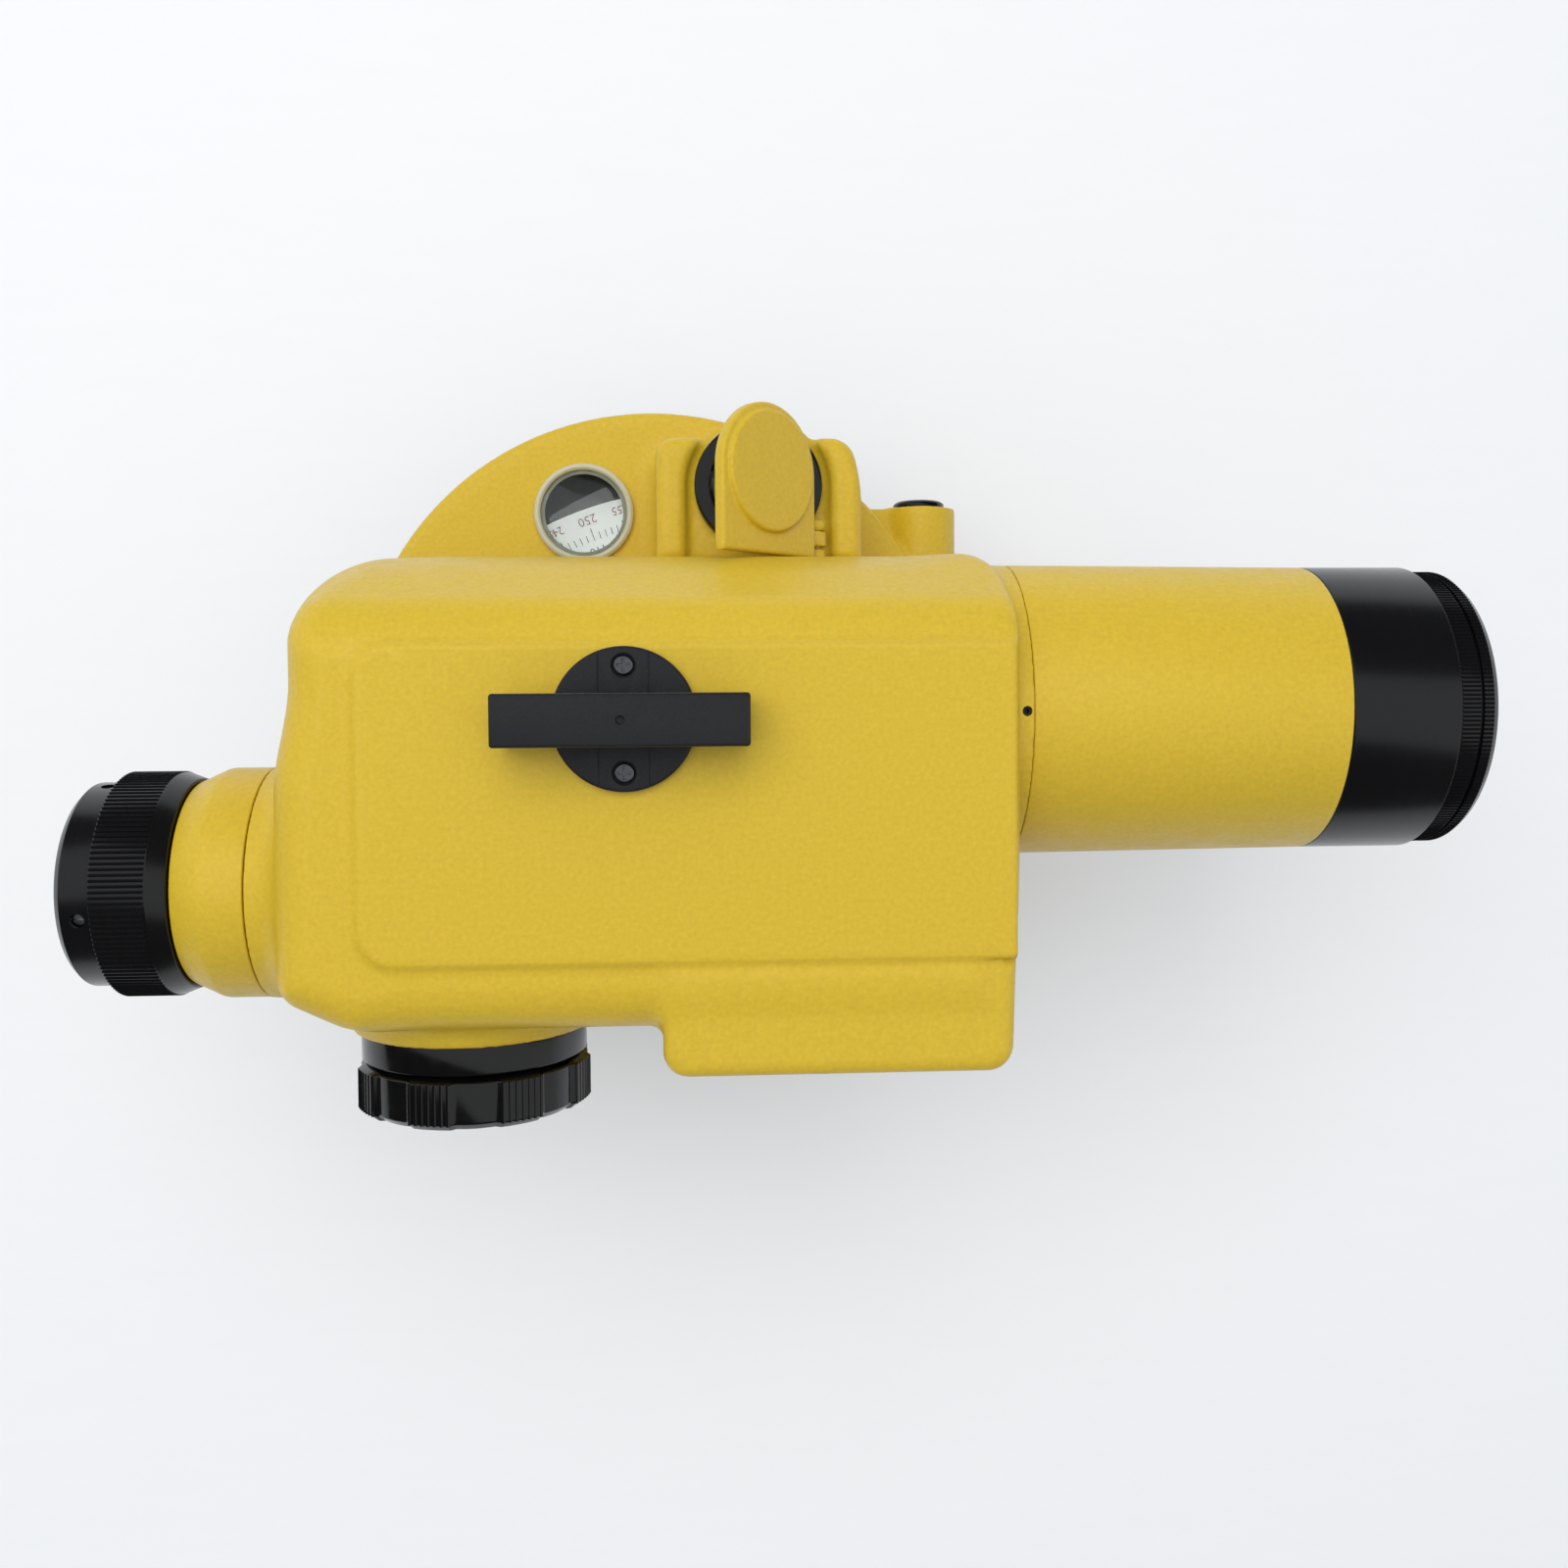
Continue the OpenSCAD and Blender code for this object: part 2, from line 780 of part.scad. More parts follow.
// Rim of the loupe over the base housing's hole
module loupe_rim() {
    rim_low = disc_top - disc_wall;
    color(milky)
        translate([-loupe_rear, loupe_y, 0])
            rotate_extrude()
                polygon([
                    [loupe_lens_r + seat, rim_low], [loupe_lens_r + 1, rim_low],
                    [loupe_lens_r + 1, disc_top], [loupe_r, disc_top],
                    [loupe_r, disc_top + loupe_h - 0.5], [loupe_r - 0.5, disc_top + loupe_h],
                    [loupe_lens_r + seat, disc_top + loupe_h]
                ]);
}

// Magnifying lens of the loupe
module loupe_lens() {
    low = disc_top - disc_wall;
    color(glass)
        translate([-loupe_rear, loupe_y, 0])
            rotate_extrude()
                polygon(concat(
                    [[0, low], [loupe_lens_r, low]],
                    [for (i = [8:-1:0]) lens_face(loupe_lens_r, loupe_h + 0.6, disc_top)[i]]
                ));
}

// Black ring that holds the circular vial
module vial_housing() {
    color(black)
        translate([vial_x, vial_y, 0])
            rotate_extrude()
                polygon([
                    [0, pocket_floor], [vial_r, pocket_floor], [vial_r, block_top - 0.6],
                    [vial_r - 0.6, block_top], [glass_r + seat, block_top],
                    [glass_r + seat, pocket_floor + 2], [0, pocket_floor + 2]
                ]);
}

// Glass of the circular vial with a domed top
module vial_glass() {
    dome = 1;
    rim = block_top - 1.6;
    color(glass)
        translate([vial_x, vial_y, 0])
            rotate_extrude()
                polygon(concat(
                    [[0, pocket_floor + 2], [glass_r, pocket_floor + 2]],
                    [for (i = [8:-1:0]) lens_face(glass_r, dome, rim)[i]]
                ));
}

// Bush that carries the tangent screw
module tangent_bush() {
    color(brass)
        difference() {
            union() {
                along_y(-tangent_reach, -tangent_reach + bush_length, tangent_x, tangent_z, tangent_bore_r - seat);
                along_y(-tangent_reach - 0.8, -tangent_reach, tangent_x, tangent_z, tangent_boss_r - 0.8);
            }
            along_y(-tangent_reach - 2 * over, 0, tangent_x, tangent_z, tangent_screw_r + play);
        }
}

// Slotted cap that closes the spring's bore
module spring_cap() {
    plug = 8;
    color(black)
        difference() {
            union() {
                along_y(tangent_reach - plug, tangent_reach, tangent_x, tangent_z, tangent_bore_r - seat);
                along_y(tangent_reach, tangent_reach + cap_h, tangent_x, tangent_z, cap_r, cap_r - 0.8);
            }
            block([tangent_x - cap_r - over, tangent_reach + cap_h - 1, tangent_z - cap_slot / 2],
                  [tangent_x + cap_r + over, tangent_reach + cap_h + over, tangent_z + cap_slot / 2]);
        }
}

// Coil spring between the plunger and the cap
module plunger_spring() {
    wire_r = 0.6;
    coil_r = 3.6;
    start = arm_half + gap + slider_length - slider_bore + wire_r + 0.1;
    end = tangent_reach - 8 - wire_r - 0.1;
    color(steel)
        translate([tangent_x, start, tangent_z])
            rotate([-90, 0, 0])
                linear_extrude(height = end - start, twist = -360 * spring_turns, slices = spring_turns * 12,
                               $fn = 8)
                    translate([coil_r, 0])
                        circle(r = wire_r, $fn = 8);
}

// Outer form of the housing, drawn in by e
module body_form(e, low) {
    rear_low = -(body_rear + rear_draft) + e;
    rear_high = -(body_rear - rear_draft) + e;
    front = body_front - e;
    top = roof_z - e;
    left = body_left - e;
    right = -(body_right - e);
    small = max(0.5, front_edge_r - e);
    intersection() {
        pulled_x(rear_low, front, rounded([
            [slope_top - e / 2, top, slope_r], [left - e / 4, axis_h + slope_foot, slope_r],
            [left, low, 0], [right, low, 0], [right, top, edge_r - e]
        ]));
        translate([0, 0, low])
            linear_extrude(height = top - low)
                polygon(rounded([
                    [rear_low, left, rear_corner_r - e], [front, left, bulge_corner_r - e],
                    [front, right, small], [rear_low, right, rear_corner_r - e]
                ]));
        pulled_y(right, left, rounded([
            [rear_low, low, 0], [rear_high, top, rear_edge_r - e], [front, top, small], [front, low, 0]
        ]));
    }
}

// Bulge on the right side over the drive, drawn in by e
module bulge_form(e, low) {
    out = -(bulge_out - e);
    top = roof_z - bulge_drop - e;
    rear = bulge_rear + e;
    front = body_front - e;
    inner = -(body_right - edge_r - 4);
    round_r = max(0.5, bulge_edge_r - e);
    intersection() {
        pulled_x(rear, front, rounded([[inner, top, 0], [inner, low, 0], [out, low, 0], [out, top, round_r]]));
        translate([0, 0, low])
            linear_extrude(height = top - low)
                polygon(rounded([
                    [rear, inner, 0], [front, inner, 0], [front, out, bulge_corner_r - e],
                    [rear, out, bulge_corner_r - e]
                ]));
    }
}

// Raised panel on the roof
module panel_form() {
    translate([0, 0, roof_z - over])
        linear_extrude(height = panel_step + over)
            polygon(rounded([
                [-panel_rear, panel_left, panel_corner_r], [-panel_rear, -panel_right, panel_corner_r],
                [body_front - front_edge_r, -panel_right, 0], [body_front - front_edge_r, panel_left, 0]
            ]));
}

// Corner places of the cover screws
module cover_screw_places() {
    rear = -(body_rear - wall - 3);
    front = body_front - wall - 3;
    left = body_left - wall - 3;
    right = -(body_right - wall - 3);
    for (place = [[rear, left], [front, left], [rear + 2, right + 2], [front, right]])
        translate([place.x, place.y, 0])
            children();
}

// Cast housing of the telescope, open below
module main_housing() {
    focus_x = -focus_rear;
    boss_root = 3;
    color(yellow)
        difference() {
            union() {
                difference() {
                    union() {
                        body_form(0, floor_z);
                        bulge_form(0, floor_z);
                        panel_form();
                        along_x(-eyepiece_joint, -body_rear + wall, -eyepiece_side, axis_h, eyepiece_boss_r);
                        along_x(-body_rear - 4, -body_rear + wall, -eyepiece_side, axis_h,
                                eyepiece_boss_r, eyepiece_boss_r + boss_root);
                        along_y(-focus_face, -body_right + wall, focus_x, focus_z,
                                focus_boss_r, focus_boss_r + boss_root);
                        along_x(body_front - wall, tube_start, 0, axis_h, tube_r);
                    }
                    body_form(wall, floor_z - over);
                    bulge_form(wall, floor_z - over);
                }
                intersection() {
                    translate([0, 0, floor_z])
                        cover_screw_places()
                            cylinder(h = cover_boss_h, r = cover_boss_r);
                    body_form(over, floor_z);
                }
            }
            along_x(tube_start - spigot - gap, tube_start + over, 0, axis_h, spigot_r);
            along_x(-eyepiece_joint - over, -body_rear + 2 * wall, -eyepiece_side, axis_h, barrel_spigot_r);
            along_y(-focus_face - over, -body_right + 2 * wall, focus_x, focus_z, focus_shaft_r + 1);
            translate([0, 0, floor_z - over])
                cover_screw_places()
                    cylinder(h = cover_boss_h, r = cover_screw_r + seat);
            for (side = [-1, 1])
                translate([-sight_rear, side * sight_screw_y, panel_z - 3])
                    cylinder(h = 3 + over, r = sight_shank_r() + seat);
            translate([lock_x(), 0, axis_h + spigot_r - over])
                cylinder(h = tube_wall + 2 * over, r = lock_screw_r + seat);
        }
}

// Radius of the peep sight's screws in the roof
function sight_shank_r() = sight_head_r - 0.6;

// Place of the tube's lock screw on the front collar
function lock_x() = tube_start - lock_screw_r - 0.4;

// Plate that closes the housing below
module bottom_cover() {
    color(yellow)
        difference() {
            union() {
                translate([0, 0, cover_z])
                    linear_extrude(height = cover_t)
                        polygon(rounded([
                            [-body_rear, body_left - cover_inset, rear_corner_r - cover_inset],
                            [body_front - cover_inset, body_left - cover_inset, 3],
                            [body_front - cover_inset, -body_right + cover_inset, 3],
                            [-body_rear, -body_right + cover_inset, rear_corner_r - cover_inset]
                        ]));
                bulge_plate();
            }
            translate([0, 0, cover_z - over])
                cover_screw_places()
                    cylinder(h = cover_t + 2 * over, r = cover_screw_r + seat);
            translate([0, 0, cover_z - over])
                cover_screw_places()
                    cylinder(h = cover_head_h + over, r = cover_head_r + seat);
        }
}

// Part of the cover under the bulge
module bulge_plate() {
    block([bulge_rear + cover_inset + bulge_corner_r, -bulge_out + cover_inset, cover_z],
          [body_front - cover_inset - bulge_corner_r, -body_right + 3, floor_z]);
}

// Four screws of the bottom cover
module cover_screws() {
    color(steel)
        cover_screw_places() {
            translate([0, 0, cover_z])
                cylinder(h = cover_head_h, r = cover_head_r);
            translate([0, 0, cover_z + cover_head_h - 0.2])
                cylinder(h = cover_t + cover_boss_h - cover_head_h - 3, r = cover_screw_r);
        }
}

// Objective tube with a spigot at the housing and a socket at the front
module objective_tube() {
    color(yellow)
        difference() {
            union() {
                along_x(tube_start, tube_front, 0, axis_h, tube_r);
                along_x(tube_start - spigot, tube_start + over, 0, axis_h, spigot_r - seat);
            }
            along_x(tube_start - spigot - over, tube_front + over, 0, axis_h, tube_bore_r);
            along_x(tube_front - spigot, tube_front + over, 0, axis_h, spigot_r);
        }
}

// Ring that holds the objective lenses
module objective_ring() {
    lip_r = lens_r - lens_lip;
    color(black)
        turned_x(0, axis_h, [
            [lens_r + seat, tube_front - spigot + gap],
            [spigot_r - seat, tube_front - spigot + gap],
            [spigot_r - seat, tube_front],
            [tube_r, tube_front],
            [tube_r, ring_front - 0.8],
            [tube_r - 0.8, ring_front],
            [lens_r + seat, ring_front],
            [lens_r + seat, ring_front - lens_seat_depth],
            [lip_r, ring_front - lens_seat_depth],
            [lip_r, tube_front + rear_seat_depth],
            [lens_r + seat, tube_front + rear_seat_depth]
        ]);
}

// Knurled ring that screws in ahead of the front lens
module objective_front_ring() {
    inner = lens_r - lens_lip;
    color(black)
        turned_x(0, axis_h, [
            [inner, ring_front - lens_seat_depth + lens_edge],
            [lens_r, ring_front - lens_seat_depth + lens_edge],
            [lens_r, ring_front],
            [front_ring_r, ring_front],
            [front_ring_r, mouth_front - 1.2],
            [front_ring_r - 1, mouth_front],
            [lens_r + 1.4, mouth_front],
            [inner, ring_front - 2]
        ]);
}

// Front lens of the objective
module objective_lens() {
    low = ring_front - lens_seat_depth;
    color(glass)
        turned_x(0, axis_h, concat(
            [for (i = [0:8]) lens_face(lens_r - lens_lip - 0.1, -2, low)[i]],
            [[lens_r, low], [lens_r, low + lens_edge]],
            [for (i = [8:-1:0]) lens_face(lens_r - lens_lip - 0.1, 2, low + lens_edge)[i]]
        ));
}

// Rear lens of the objective
module objective_rear_lens() {
    high = tube_front + rear_seat_depth;
    color(glass)
        turned_x(0, axis_h, concat(
            [for (i = [0:8]) lens_face(lens_r - 1, -1, high - lens_edge)[i]],
            [[lens_r, high - lens_edge], [lens_r, high], [0, high]]
        ));
}

// Set screw that locks the objective tube
module tube_lock_screw() {
    socket = 0.9;
    color(black)
        translate([lock_x(), 0, axis_h])
            difference() {
                translate([0, 0, spigot_r])
                    cylinder(h = tube_wall, r = lock_screw_r);
                translate([0, 0, tube_r - over])
                    cylinder(h = 2 * over, r = socket, $fn = 6);
            }
}

// Barrel between the housing and the diopter ring
module eyepiece_barrel() {
    end = -(eyepiece_joint + barrel_length);
    color(yellow)
        turned_x(-eyepiece_side, axis_h, [
            [cell_r + play, end - sleeve_length],
            [sleeve_r, end - sleeve_length],
            [sleeve_r, end],
            [diopter_end_r, end],
            [eyepiece_boss_r - 0.2, end + 6],
            [eyepiece_boss_r - 0.2, -eyepiece_joint],
            [barrel_spigot_r - seat, -eyepiece_joint],
            [barrel_spigot_r - seat, -body_rear + 1.4],
            [cell_r + play, -body_rear + 1.4]
        ]);
}

// Ring that holds the reticle in the barrel
module reticle_ring() {
    start = -body_rear - 3;
    color(brass)
        difference() {
            along_x(start, start + 3, -eyepiece_side, axis_h, cell_r);
            along_x(start - over, start + 3 + over, -eyepiece_side, axis_h, cell_r / 2 + seat);
        }
}

// Glass plate with the cross hairs
module reticle_glass() {
    color(glass)
        along_x(-body_rear - 2.5, -body_rear - 0.5, -eyepiece_side, axis_h, cell_r / 2);
}

// Ends of the two guide rods
function rod_start() = frame_half - rod_seat;

// Two rods that the focusing carriage slides on
module guide_rods() {
    color(steel)
        for (side = [-1, 1])
            along_x(rod_start(), body_front - wall, side * rod_y, axis_h - rod_drop, rod_r);
}

// Frame that carries the compensator, the fixed prism and the rods
module compensator_frame() {
    deck = floor_z + frame_floor;
    color("#8d9094")
        difference() {
            union() {
                block([-frame_half, -frame_side, floor_z], [frame_half, frame_side, deck]);
                block([-prism_front - prism_aperture, -20, floor_z], [-frame_half + over, 10, deck]);
                for (side = [-1, 1])
                    translate([0, side * (frame_neck - frame_post / 2), 0])
                        block([-pendulum_half, -frame_post / 2, deck - over],
                              [pendulum_half, frame_post / 2, axis_h + frame_bridge_low + frame_post]);
                block([-pendulum_half, -frame_neck, axis_h + frame_bridge_low],
                      [pendulum_half, frame_neck, axis_h + frame_bridge_low + frame_post]);
                block([frame_half - sill_t, -frame_side, deck - over], [frame_half, frame_side, axis_h + sill_top]);
                prism_pillar(deck);
                translate([0, 0, deck - over])
                    cylinder(h = damper_cup_h + over, r = damper_cup_r + 1.5);
            }
            translate([0, 0, deck])
                cylinder(h = damper_cup_h + over, r = damper_cup_r);
            for (side = [-1, 1])
                along_x(rod_start() - 0.2, frame_half + over, side * rod_y, axis_h - rod_drop, rod_r + seat);
        }
}

// Corner points of the fixed prism, seen from above
function prism_outline(e) =
    let (half = prism_aperture / 2, rear = -prism_front - prism_aperture)
    [[-prism_front - e, half - 2 * e], [rear + e, -half], [rear + e, -eyepiece_side - half + 2 * e],
     [-prism_front - e, -eyepiece_side + half]];

// Pillar under the fixed prism
module prism_pillar(deck) {
    translate([0, 0, deck - over])
        linear_extrude(height = axis_h - prism_aperture / 2 - deck + over)
            polygon([for (p = prism_outline(1.5)) [p.x, max(p.y, -eyepiece_side)]]);
}

// Prism that shifts the line of sight sideways to the eyepiece
module fixed_prism() {
    color(glass)
        translate([0, 0, axis_h - prism_aperture / 2])
            linear_extrude(height = prism_aperture)
                polygon(prism_outline(0));
}

// Four crossed tapes that the pendulum hangs from
module suspension_tapes() {
    low = axis_h + pendulum_top + gap;
    high = axis_h + frame_bridge_low;
    color(steel)
        for (x = [-1, 1], y = [-1, 1])
            pulled_y(y * 10 - tape_w / 2, y * 10 + tape_w / 2, [
                [x * 3 - tape_t / 2, low], [x * 3 + tape_t / 2, low],
                [x * 5 + tape_t / 2, high], [x * 5 - tape_t / 2, high]
            ]);
}

// Compensator pendulum with its damping piston
module pendulum() {
    color(brass) {
        difference() {
            block([-pendulum_half, -pendulum_side, axis_h + pendulum_low],
                  [pendulum_half, pendulum_side, axis_h + pendulum_top]);
            block([-pendulum_half - over, -pendulum_side + pendulum_plate, axis_h + pendulum_low + pendulum_plate],
                  [pendulum_half + over, pendulum_side - pendulum_plate, axis_h + pendulum_top - pendulum_plate]);
        }
        translate([0, 0, floor_z + frame_floor + 2])
            cylinder(h = axis_h + pendulum_low - floor_z - frame_floor - 1.5, r = damper_r);
    }
}

// Prism carried by the pendulum
module pendulum_prism() {
    side = pendulum_side - pendulum_plate - seat;
    color(glass)
        block([-pendulum_half + 0.5, -side, axis_h + pendulum_low + pendulum_plate],
              [pendulum_half - 0.5, side, axis_h + pendulum_top - pendulum_plate - 0.5]);
}

// Fixed collar between the focusing boss and the knob
module focus_collar() {
    color(black)
        difference() {
            along_y(-focus_face - collar_length, -focus_face, -focus_rear, focus_z, collar_r);
            along_y(-focus_face - collar_length - over, -focus_face + over, -focus_rear, focus_z,
                    focus_shaft_r + play);
        }
}

// Far end of the focusing knob
function knob_end() = focus_face + collar_length + gap + knob_length;

// Lobed focusing knob
module focus_knob() {
    sector = 180 / knob_lobes;
    first = 90 - 13.7;
    reach = knob_r + over;
    color(black)
        translate([-focus_rear, -knob_end(), focus_z])
            rotate([-90, 0, 0])
                difference() {
                    union() {
                        cylinder(h = knob_length, r = knob_r);
                    }
                    difference() {
                        for (i = [0:knob_lobes - 1])
                            rotate([0, 0, -first + sector + 2 * i * sector])
                                translate([0, 0, 0.8])
                                    linear_extrude(height = knob_length)
                                        polygon([
                                            [0, 0],
                                            reach * [cos(sector / 2), -sin(sector / 2)],
                                            reach * [1 / cos(sector / 2), 0],
                                            reach * [cos(sector / 2), sin(sector / 2)]
                                        ]);
                        translate([0, 0, -over])
                            cylinder(h = knob_length + 3 * over, r = knob_r - lobe_step);
                    }
                    translate([0, 0, -over])
                        cylinder(h = over + 0.8, r = knob_r - 5);
                    translate([0, 0, 3])
                        cylinder(h = knob_length, r = focus_shaft_r + seat);
                }
}

// Pinion outline with straight-sided teeth, one tooth pointing down
function pinion_tooth(a) =
    let (
        low = pinion_r - tooth_root,
        high = pinion_r + tooth_tip,
        base_half = tooth_half + tooth_root * tooth_lean,
        tip_half = tooth_half - tooth_tip * tooth_lean,
        along = [cos(a), sin(a)],
        across = [-sin(a), cos(a)]
    )
    [low * along - base_half * across, high * along - tip_half * across,
     high * along + tip_half * across, low * along + base_half * across];

// Focusing shaft with its pinion
module focus_shaft() {
    color(steel) {
        along_y(-knob_end() + 3, -rack_right, -focus_rear, focus_z, focus_shaft_r);
        translate([-focus_rear, -rack_left + 0.2, focus_z])
            rotate([90, 0, 0])
                linear_extrude(height = rack_right - rack_left + 0.4)
                    polygon([for (i = [0:pinion_teeth - 1]) each pinion_tooth(-90 + i * 360 / pinion_teeth)]);
    }
}

// Carriage of the focusing lens, with its rack
module focus_carriage() {
    pitch_z = focus_z - pinion_r;
    root_z = pitch_z - tooth_root;
    teeth = ceil((focus_travel + rack_margin) / tooth_pitch);
    rack_end = -focus_rear - (teeth + 0.5) * tooth_pitch;
    web_y = rod_y + rod_r + 2.5;
    color("#a8abae")
        difference() {
            union() {
                along_x(carriage_x - carriage_half, carriage_x + carriage_half, 0, axis_h, carriage_r);
                block([carriage_x - 4, -web_y, axis_h - rod_drop - rod_r - 2],
                      [carriage_x + 4, web_y, axis_h - rod_drop + rod_r + 2]);
                block([carriage_x - 4, -carriage_r + 3, axis_h - rod_drop],
                      [carriage_x + 4, carriage_r - 3, axis_h - focus_lens_r]);
                block([rack_end, -rack_right, root_z - rack_body],
                      [carriage_x + carriage_half - 1, -rack_left, root_z]);
                block([carriage_x - 4, -rack_left - over, root_z - rack_body],
                      [carriage_x + 4, -focus_lens_r - 1, root_z]);
                pulled_y(-rack_right, -rack_left, rack_teeth_outline(teeth, root_z, pitch_z));
            }
            along_x(carriage_x - carriage_half - over, carriage_x + carriage_half + over, 0, axis_h,
                    focus_lens_r - 1);
            along_x(carriage_x - carriage_half - over, carriage_x, 0, axis_h, focus_lens_r + seat);
            for (side = [-1, 1])
                along_x(carriage_x - carriage_half, carriage_x + carriage_half, side * rod_y, axis_h - rod_drop,
                        rod_r + play);
        }
}

// Saw line of the rack, with a gap under the pinion's lowest tooth
function rack_teeth_outline(teeth, root_z, pitch_z) = concat(
    [[-focus_rear - (teeth + 0.5) * tooth_pitch, root_z - 0.5]],
    [for (i = [-teeth:teeth - 1])
        let (x = -focus_rear + (i + 0.5) * tooth_pitch,
             base_half = tooth_half + tooth_root * tooth_lean,
             tip_half = tooth_half - tooth_tip * tooth_lean)
        each [[x - base_half, root_z], [x - tip_half, pitch_z + tooth_tip],
              [x + tip_half, pitch_z + tooth_tip], [x + base_half, root_z]]],
    [[-focus_rear + (teeth + 0.5) * tooth_pitch, root_z - 0.5]]
);

// Focusing lens in its carriage
module focus_lens() {
    color(glass)
        turned_x(0, axis_h, [
            [0, carriage_x - 3], [focus_lens_r - 3, carriage_x - 3], [focus_lens_r, carriage_x - 4.5],
            [focus_lens_r, carriage_x], [0, carriage_x]
        ]);
}

// Black peep sight: round foot and bar with a square tunnel
module peep_sight() {
    half = sight_w / 2;
    bar_z = panel_z + sight_foot_h;
    tunnel_z = bar_z + (sight_h - tunnel) / 2;
    edge = 0.8;
    low_x = -sight_rear - sight_length / 2;
    color(matt_black)
        difference() {
            union() {
                translate([-sight_rear, 0, panel_z])
                    cylinder(h = sight_foot_h, r = sight_foot_r);
                pulled_x(low_x, low_x + sight_length, rounded([
                    [-half, bar_z - 0.4, 0], [half, bar_z - 0.4, 0],
                    [half, bar_z + sight_h, edge], [-half, bar_z + sight_h, edge]
                ]));
            }
            block([low_x - over, -tunnel / 2, tunnel_z], [low_x + sight_length + over, tunnel / 2, tunnel_z + tunnel]);
            for (side = [-1, 1])
                translate([-sight_rear, side * sight_screw_y, panel_z - over]) {
                    cylinder(h = sight_foot_h + 2 * over, r = sight_shank_r() + seat);
                    translate([0, 0, over + 1])
                        cylinder(h = sight_foot_h + over, r = sight_head_r + 0.4);
                }
        }
}

// Two screws of the peep sight
module sight_screws() {
    cross_w = 0.5;
    color(steel)
        for (side = [-1, 1])
            translate([-sight_rear, side * sight_screw_y, 0])
                difference() {
                    union() {
                        translate([0, 0, panel_z - 2.6])
                            cylinder(h = 3.8, r = sight_shank_r());
                        translate([0, 0, panel_z + 1])
                            cylinder(h = 1.2, r = sight_head_r);
                    }
                    for (turn = [0, 90])
                        rotate([0, 0, turn])
                            translate([-1, -cross_w / 2, panel_z + 1.5])
                                cube([2, cross_w, over]);
                }
}

// Tangent screw that drives the travelling nut
module tangent_screw() {
    color(steel)
        along_y(-tangent_reach - 4, -arm_half - gap - slider_length + 7, tangent_x, tangent_z, tangent_screw_r);
}

// Fluted knob of the tangent screw
module tangent_knob() {
    start = -tangent_reach - 0.8 - gap;
    flutes = 16;
    color(black)
        translate([tangent_x, start - tangent_knob_length, tangent_z])
            rotate([-90, 0, 0])
                difference() {
                    cylinder(h = tangent_knob_length, r = tangent_knob_r);
                    for (i = [0:flutes - 1])
                        rotate([0, 0, i * 360 / flutes])
                            translate([tangent_knob_r + 0.6, 0, 1.5])
                                cylinder(h = tangent_knob_length, r = 1.2);
                    translate([0, 0, tangent_knob_length - 2.9])
                        cylinder(h = 2.9 + over, r = tangent_screw_r + seat);
                }
}

// Slider with a blunt tip at the arm and a bore at its back; side is -1 or 1
module slider(side, bore_r) {
    start = arm_half + gap;
    translate([tangent_x, 0, tangent_z])
        rotate([-side * 90, 0, 0])
            rotate_extrude()
                polygon([
                    [0, start], [tip_r, start], [slider_r, start + tip_taper],
                    [slider_r, start + slider_length], [bore_r, start + slider_length],
                    [bore_r, start + slider_length - slider_bore], [0, start + slider_length - slider_bore]
                ]);
}

// Nut that the tangent screw moves against the friction arm
module tangent_nut() {
    color(brass)
        slider(-1, tangent_screw_r + play);
}

// Plunger that the spring presses against the friction arm
module spring_plunger() {
    color(steel)
        slider(1, tangent_bore_r - 1);
}

// Knurled diopter ring with the eye opening
module diopter_ring() {
    start = -(eyepiece_joint + barrel_length) - gap;
    end = start - diopter_length;
    inner = start - sleeve_length - 2.2;
    color(black)
        difference() {
            turned_x(-eyepiece_side, axis_h, [
                [sleeve_r + play, start],
                [diopter_end_r + 0.6, start],
                [diopter_r, start - 2.6],
                [diopter_r, end + 7.2],
                [diopter_end_r, end + 7.2],
                [diopter_end_r, end + 1.4],
                [diopter_end_r - 1.4, end],
                [eye_r + 4, end],
                [eye_r, end + 3.4],
                [eye_r, inner],
                [sleeve_r + play, inner]
            ]);
            for (turn = [0:120:240])
                translate([end + 4.4, -eyepiece_side, axis_h])
                    rotate([diopter_screw_turn() + turn, 0, 0])
                        translate([0, 0, diopter_end_r - 2.4])
                            cylinder(h = 3 + over, r = diopter_screw_r + seat);
        }
}

// Angle of the first set screw from the top
function diopter_screw_turn() = 13;

// Three radial set screws of the diopter ring
module diopter_screws() {
    end = -(eyepiece_joint + barrel_length) - gap - diopter_length;
    color(steel)
        for (turn = [0:120:240])
            translate([end + 4.4, -eyepiece_side, axis_h])
                rotate([diopter_screw_turn() + turn, 0, 0])
                    translate([0, 0, diopter_end_r - 2.4])
                        difference() {
                            cylinder(h = 2.2, r = diopter_screw_r);
                            translate([-diopter_screw_r - over, -0.2, 1.7])
                                cube([2 * diopter_screw_r + 2 * over, 0.4, over]);
                        }
}

// Cell of the eyepiece lens that the diopter ring moves
module eyepiece_cell() {
    rear = -(eyepiece_joint + barrel_length + sleeve_length) + 0.4;
    color("#5a5c5f")
        difference() {
            along_x(rear, rear + 14, -eyepiece_side, axis_h, cell_r);
            along_x(rear - over, rear + 14 + over, -eyepiece_side, axis_h, eye_r);
            along_x(rear - over, rear + 11, -eyepiece_side, axis_h, cell_r - 1.2);
        }
}

// Eyepiece lens in its cell
module eyepiece_lens() {
    rear = -(eyepiece_joint + barrel_length + sleeve_length) + 0.4;
    color(glass)
        turned_x(-eyepiece_side, axis_h, concat(
            [for (i = [0:8]) lens_face(cell_r - 1.2 - seat, -1.2, rear + 4)[i]],
            [[cell_r - 1.2 - seat, rear + 11], [0, rear + 11]]
        ));
}

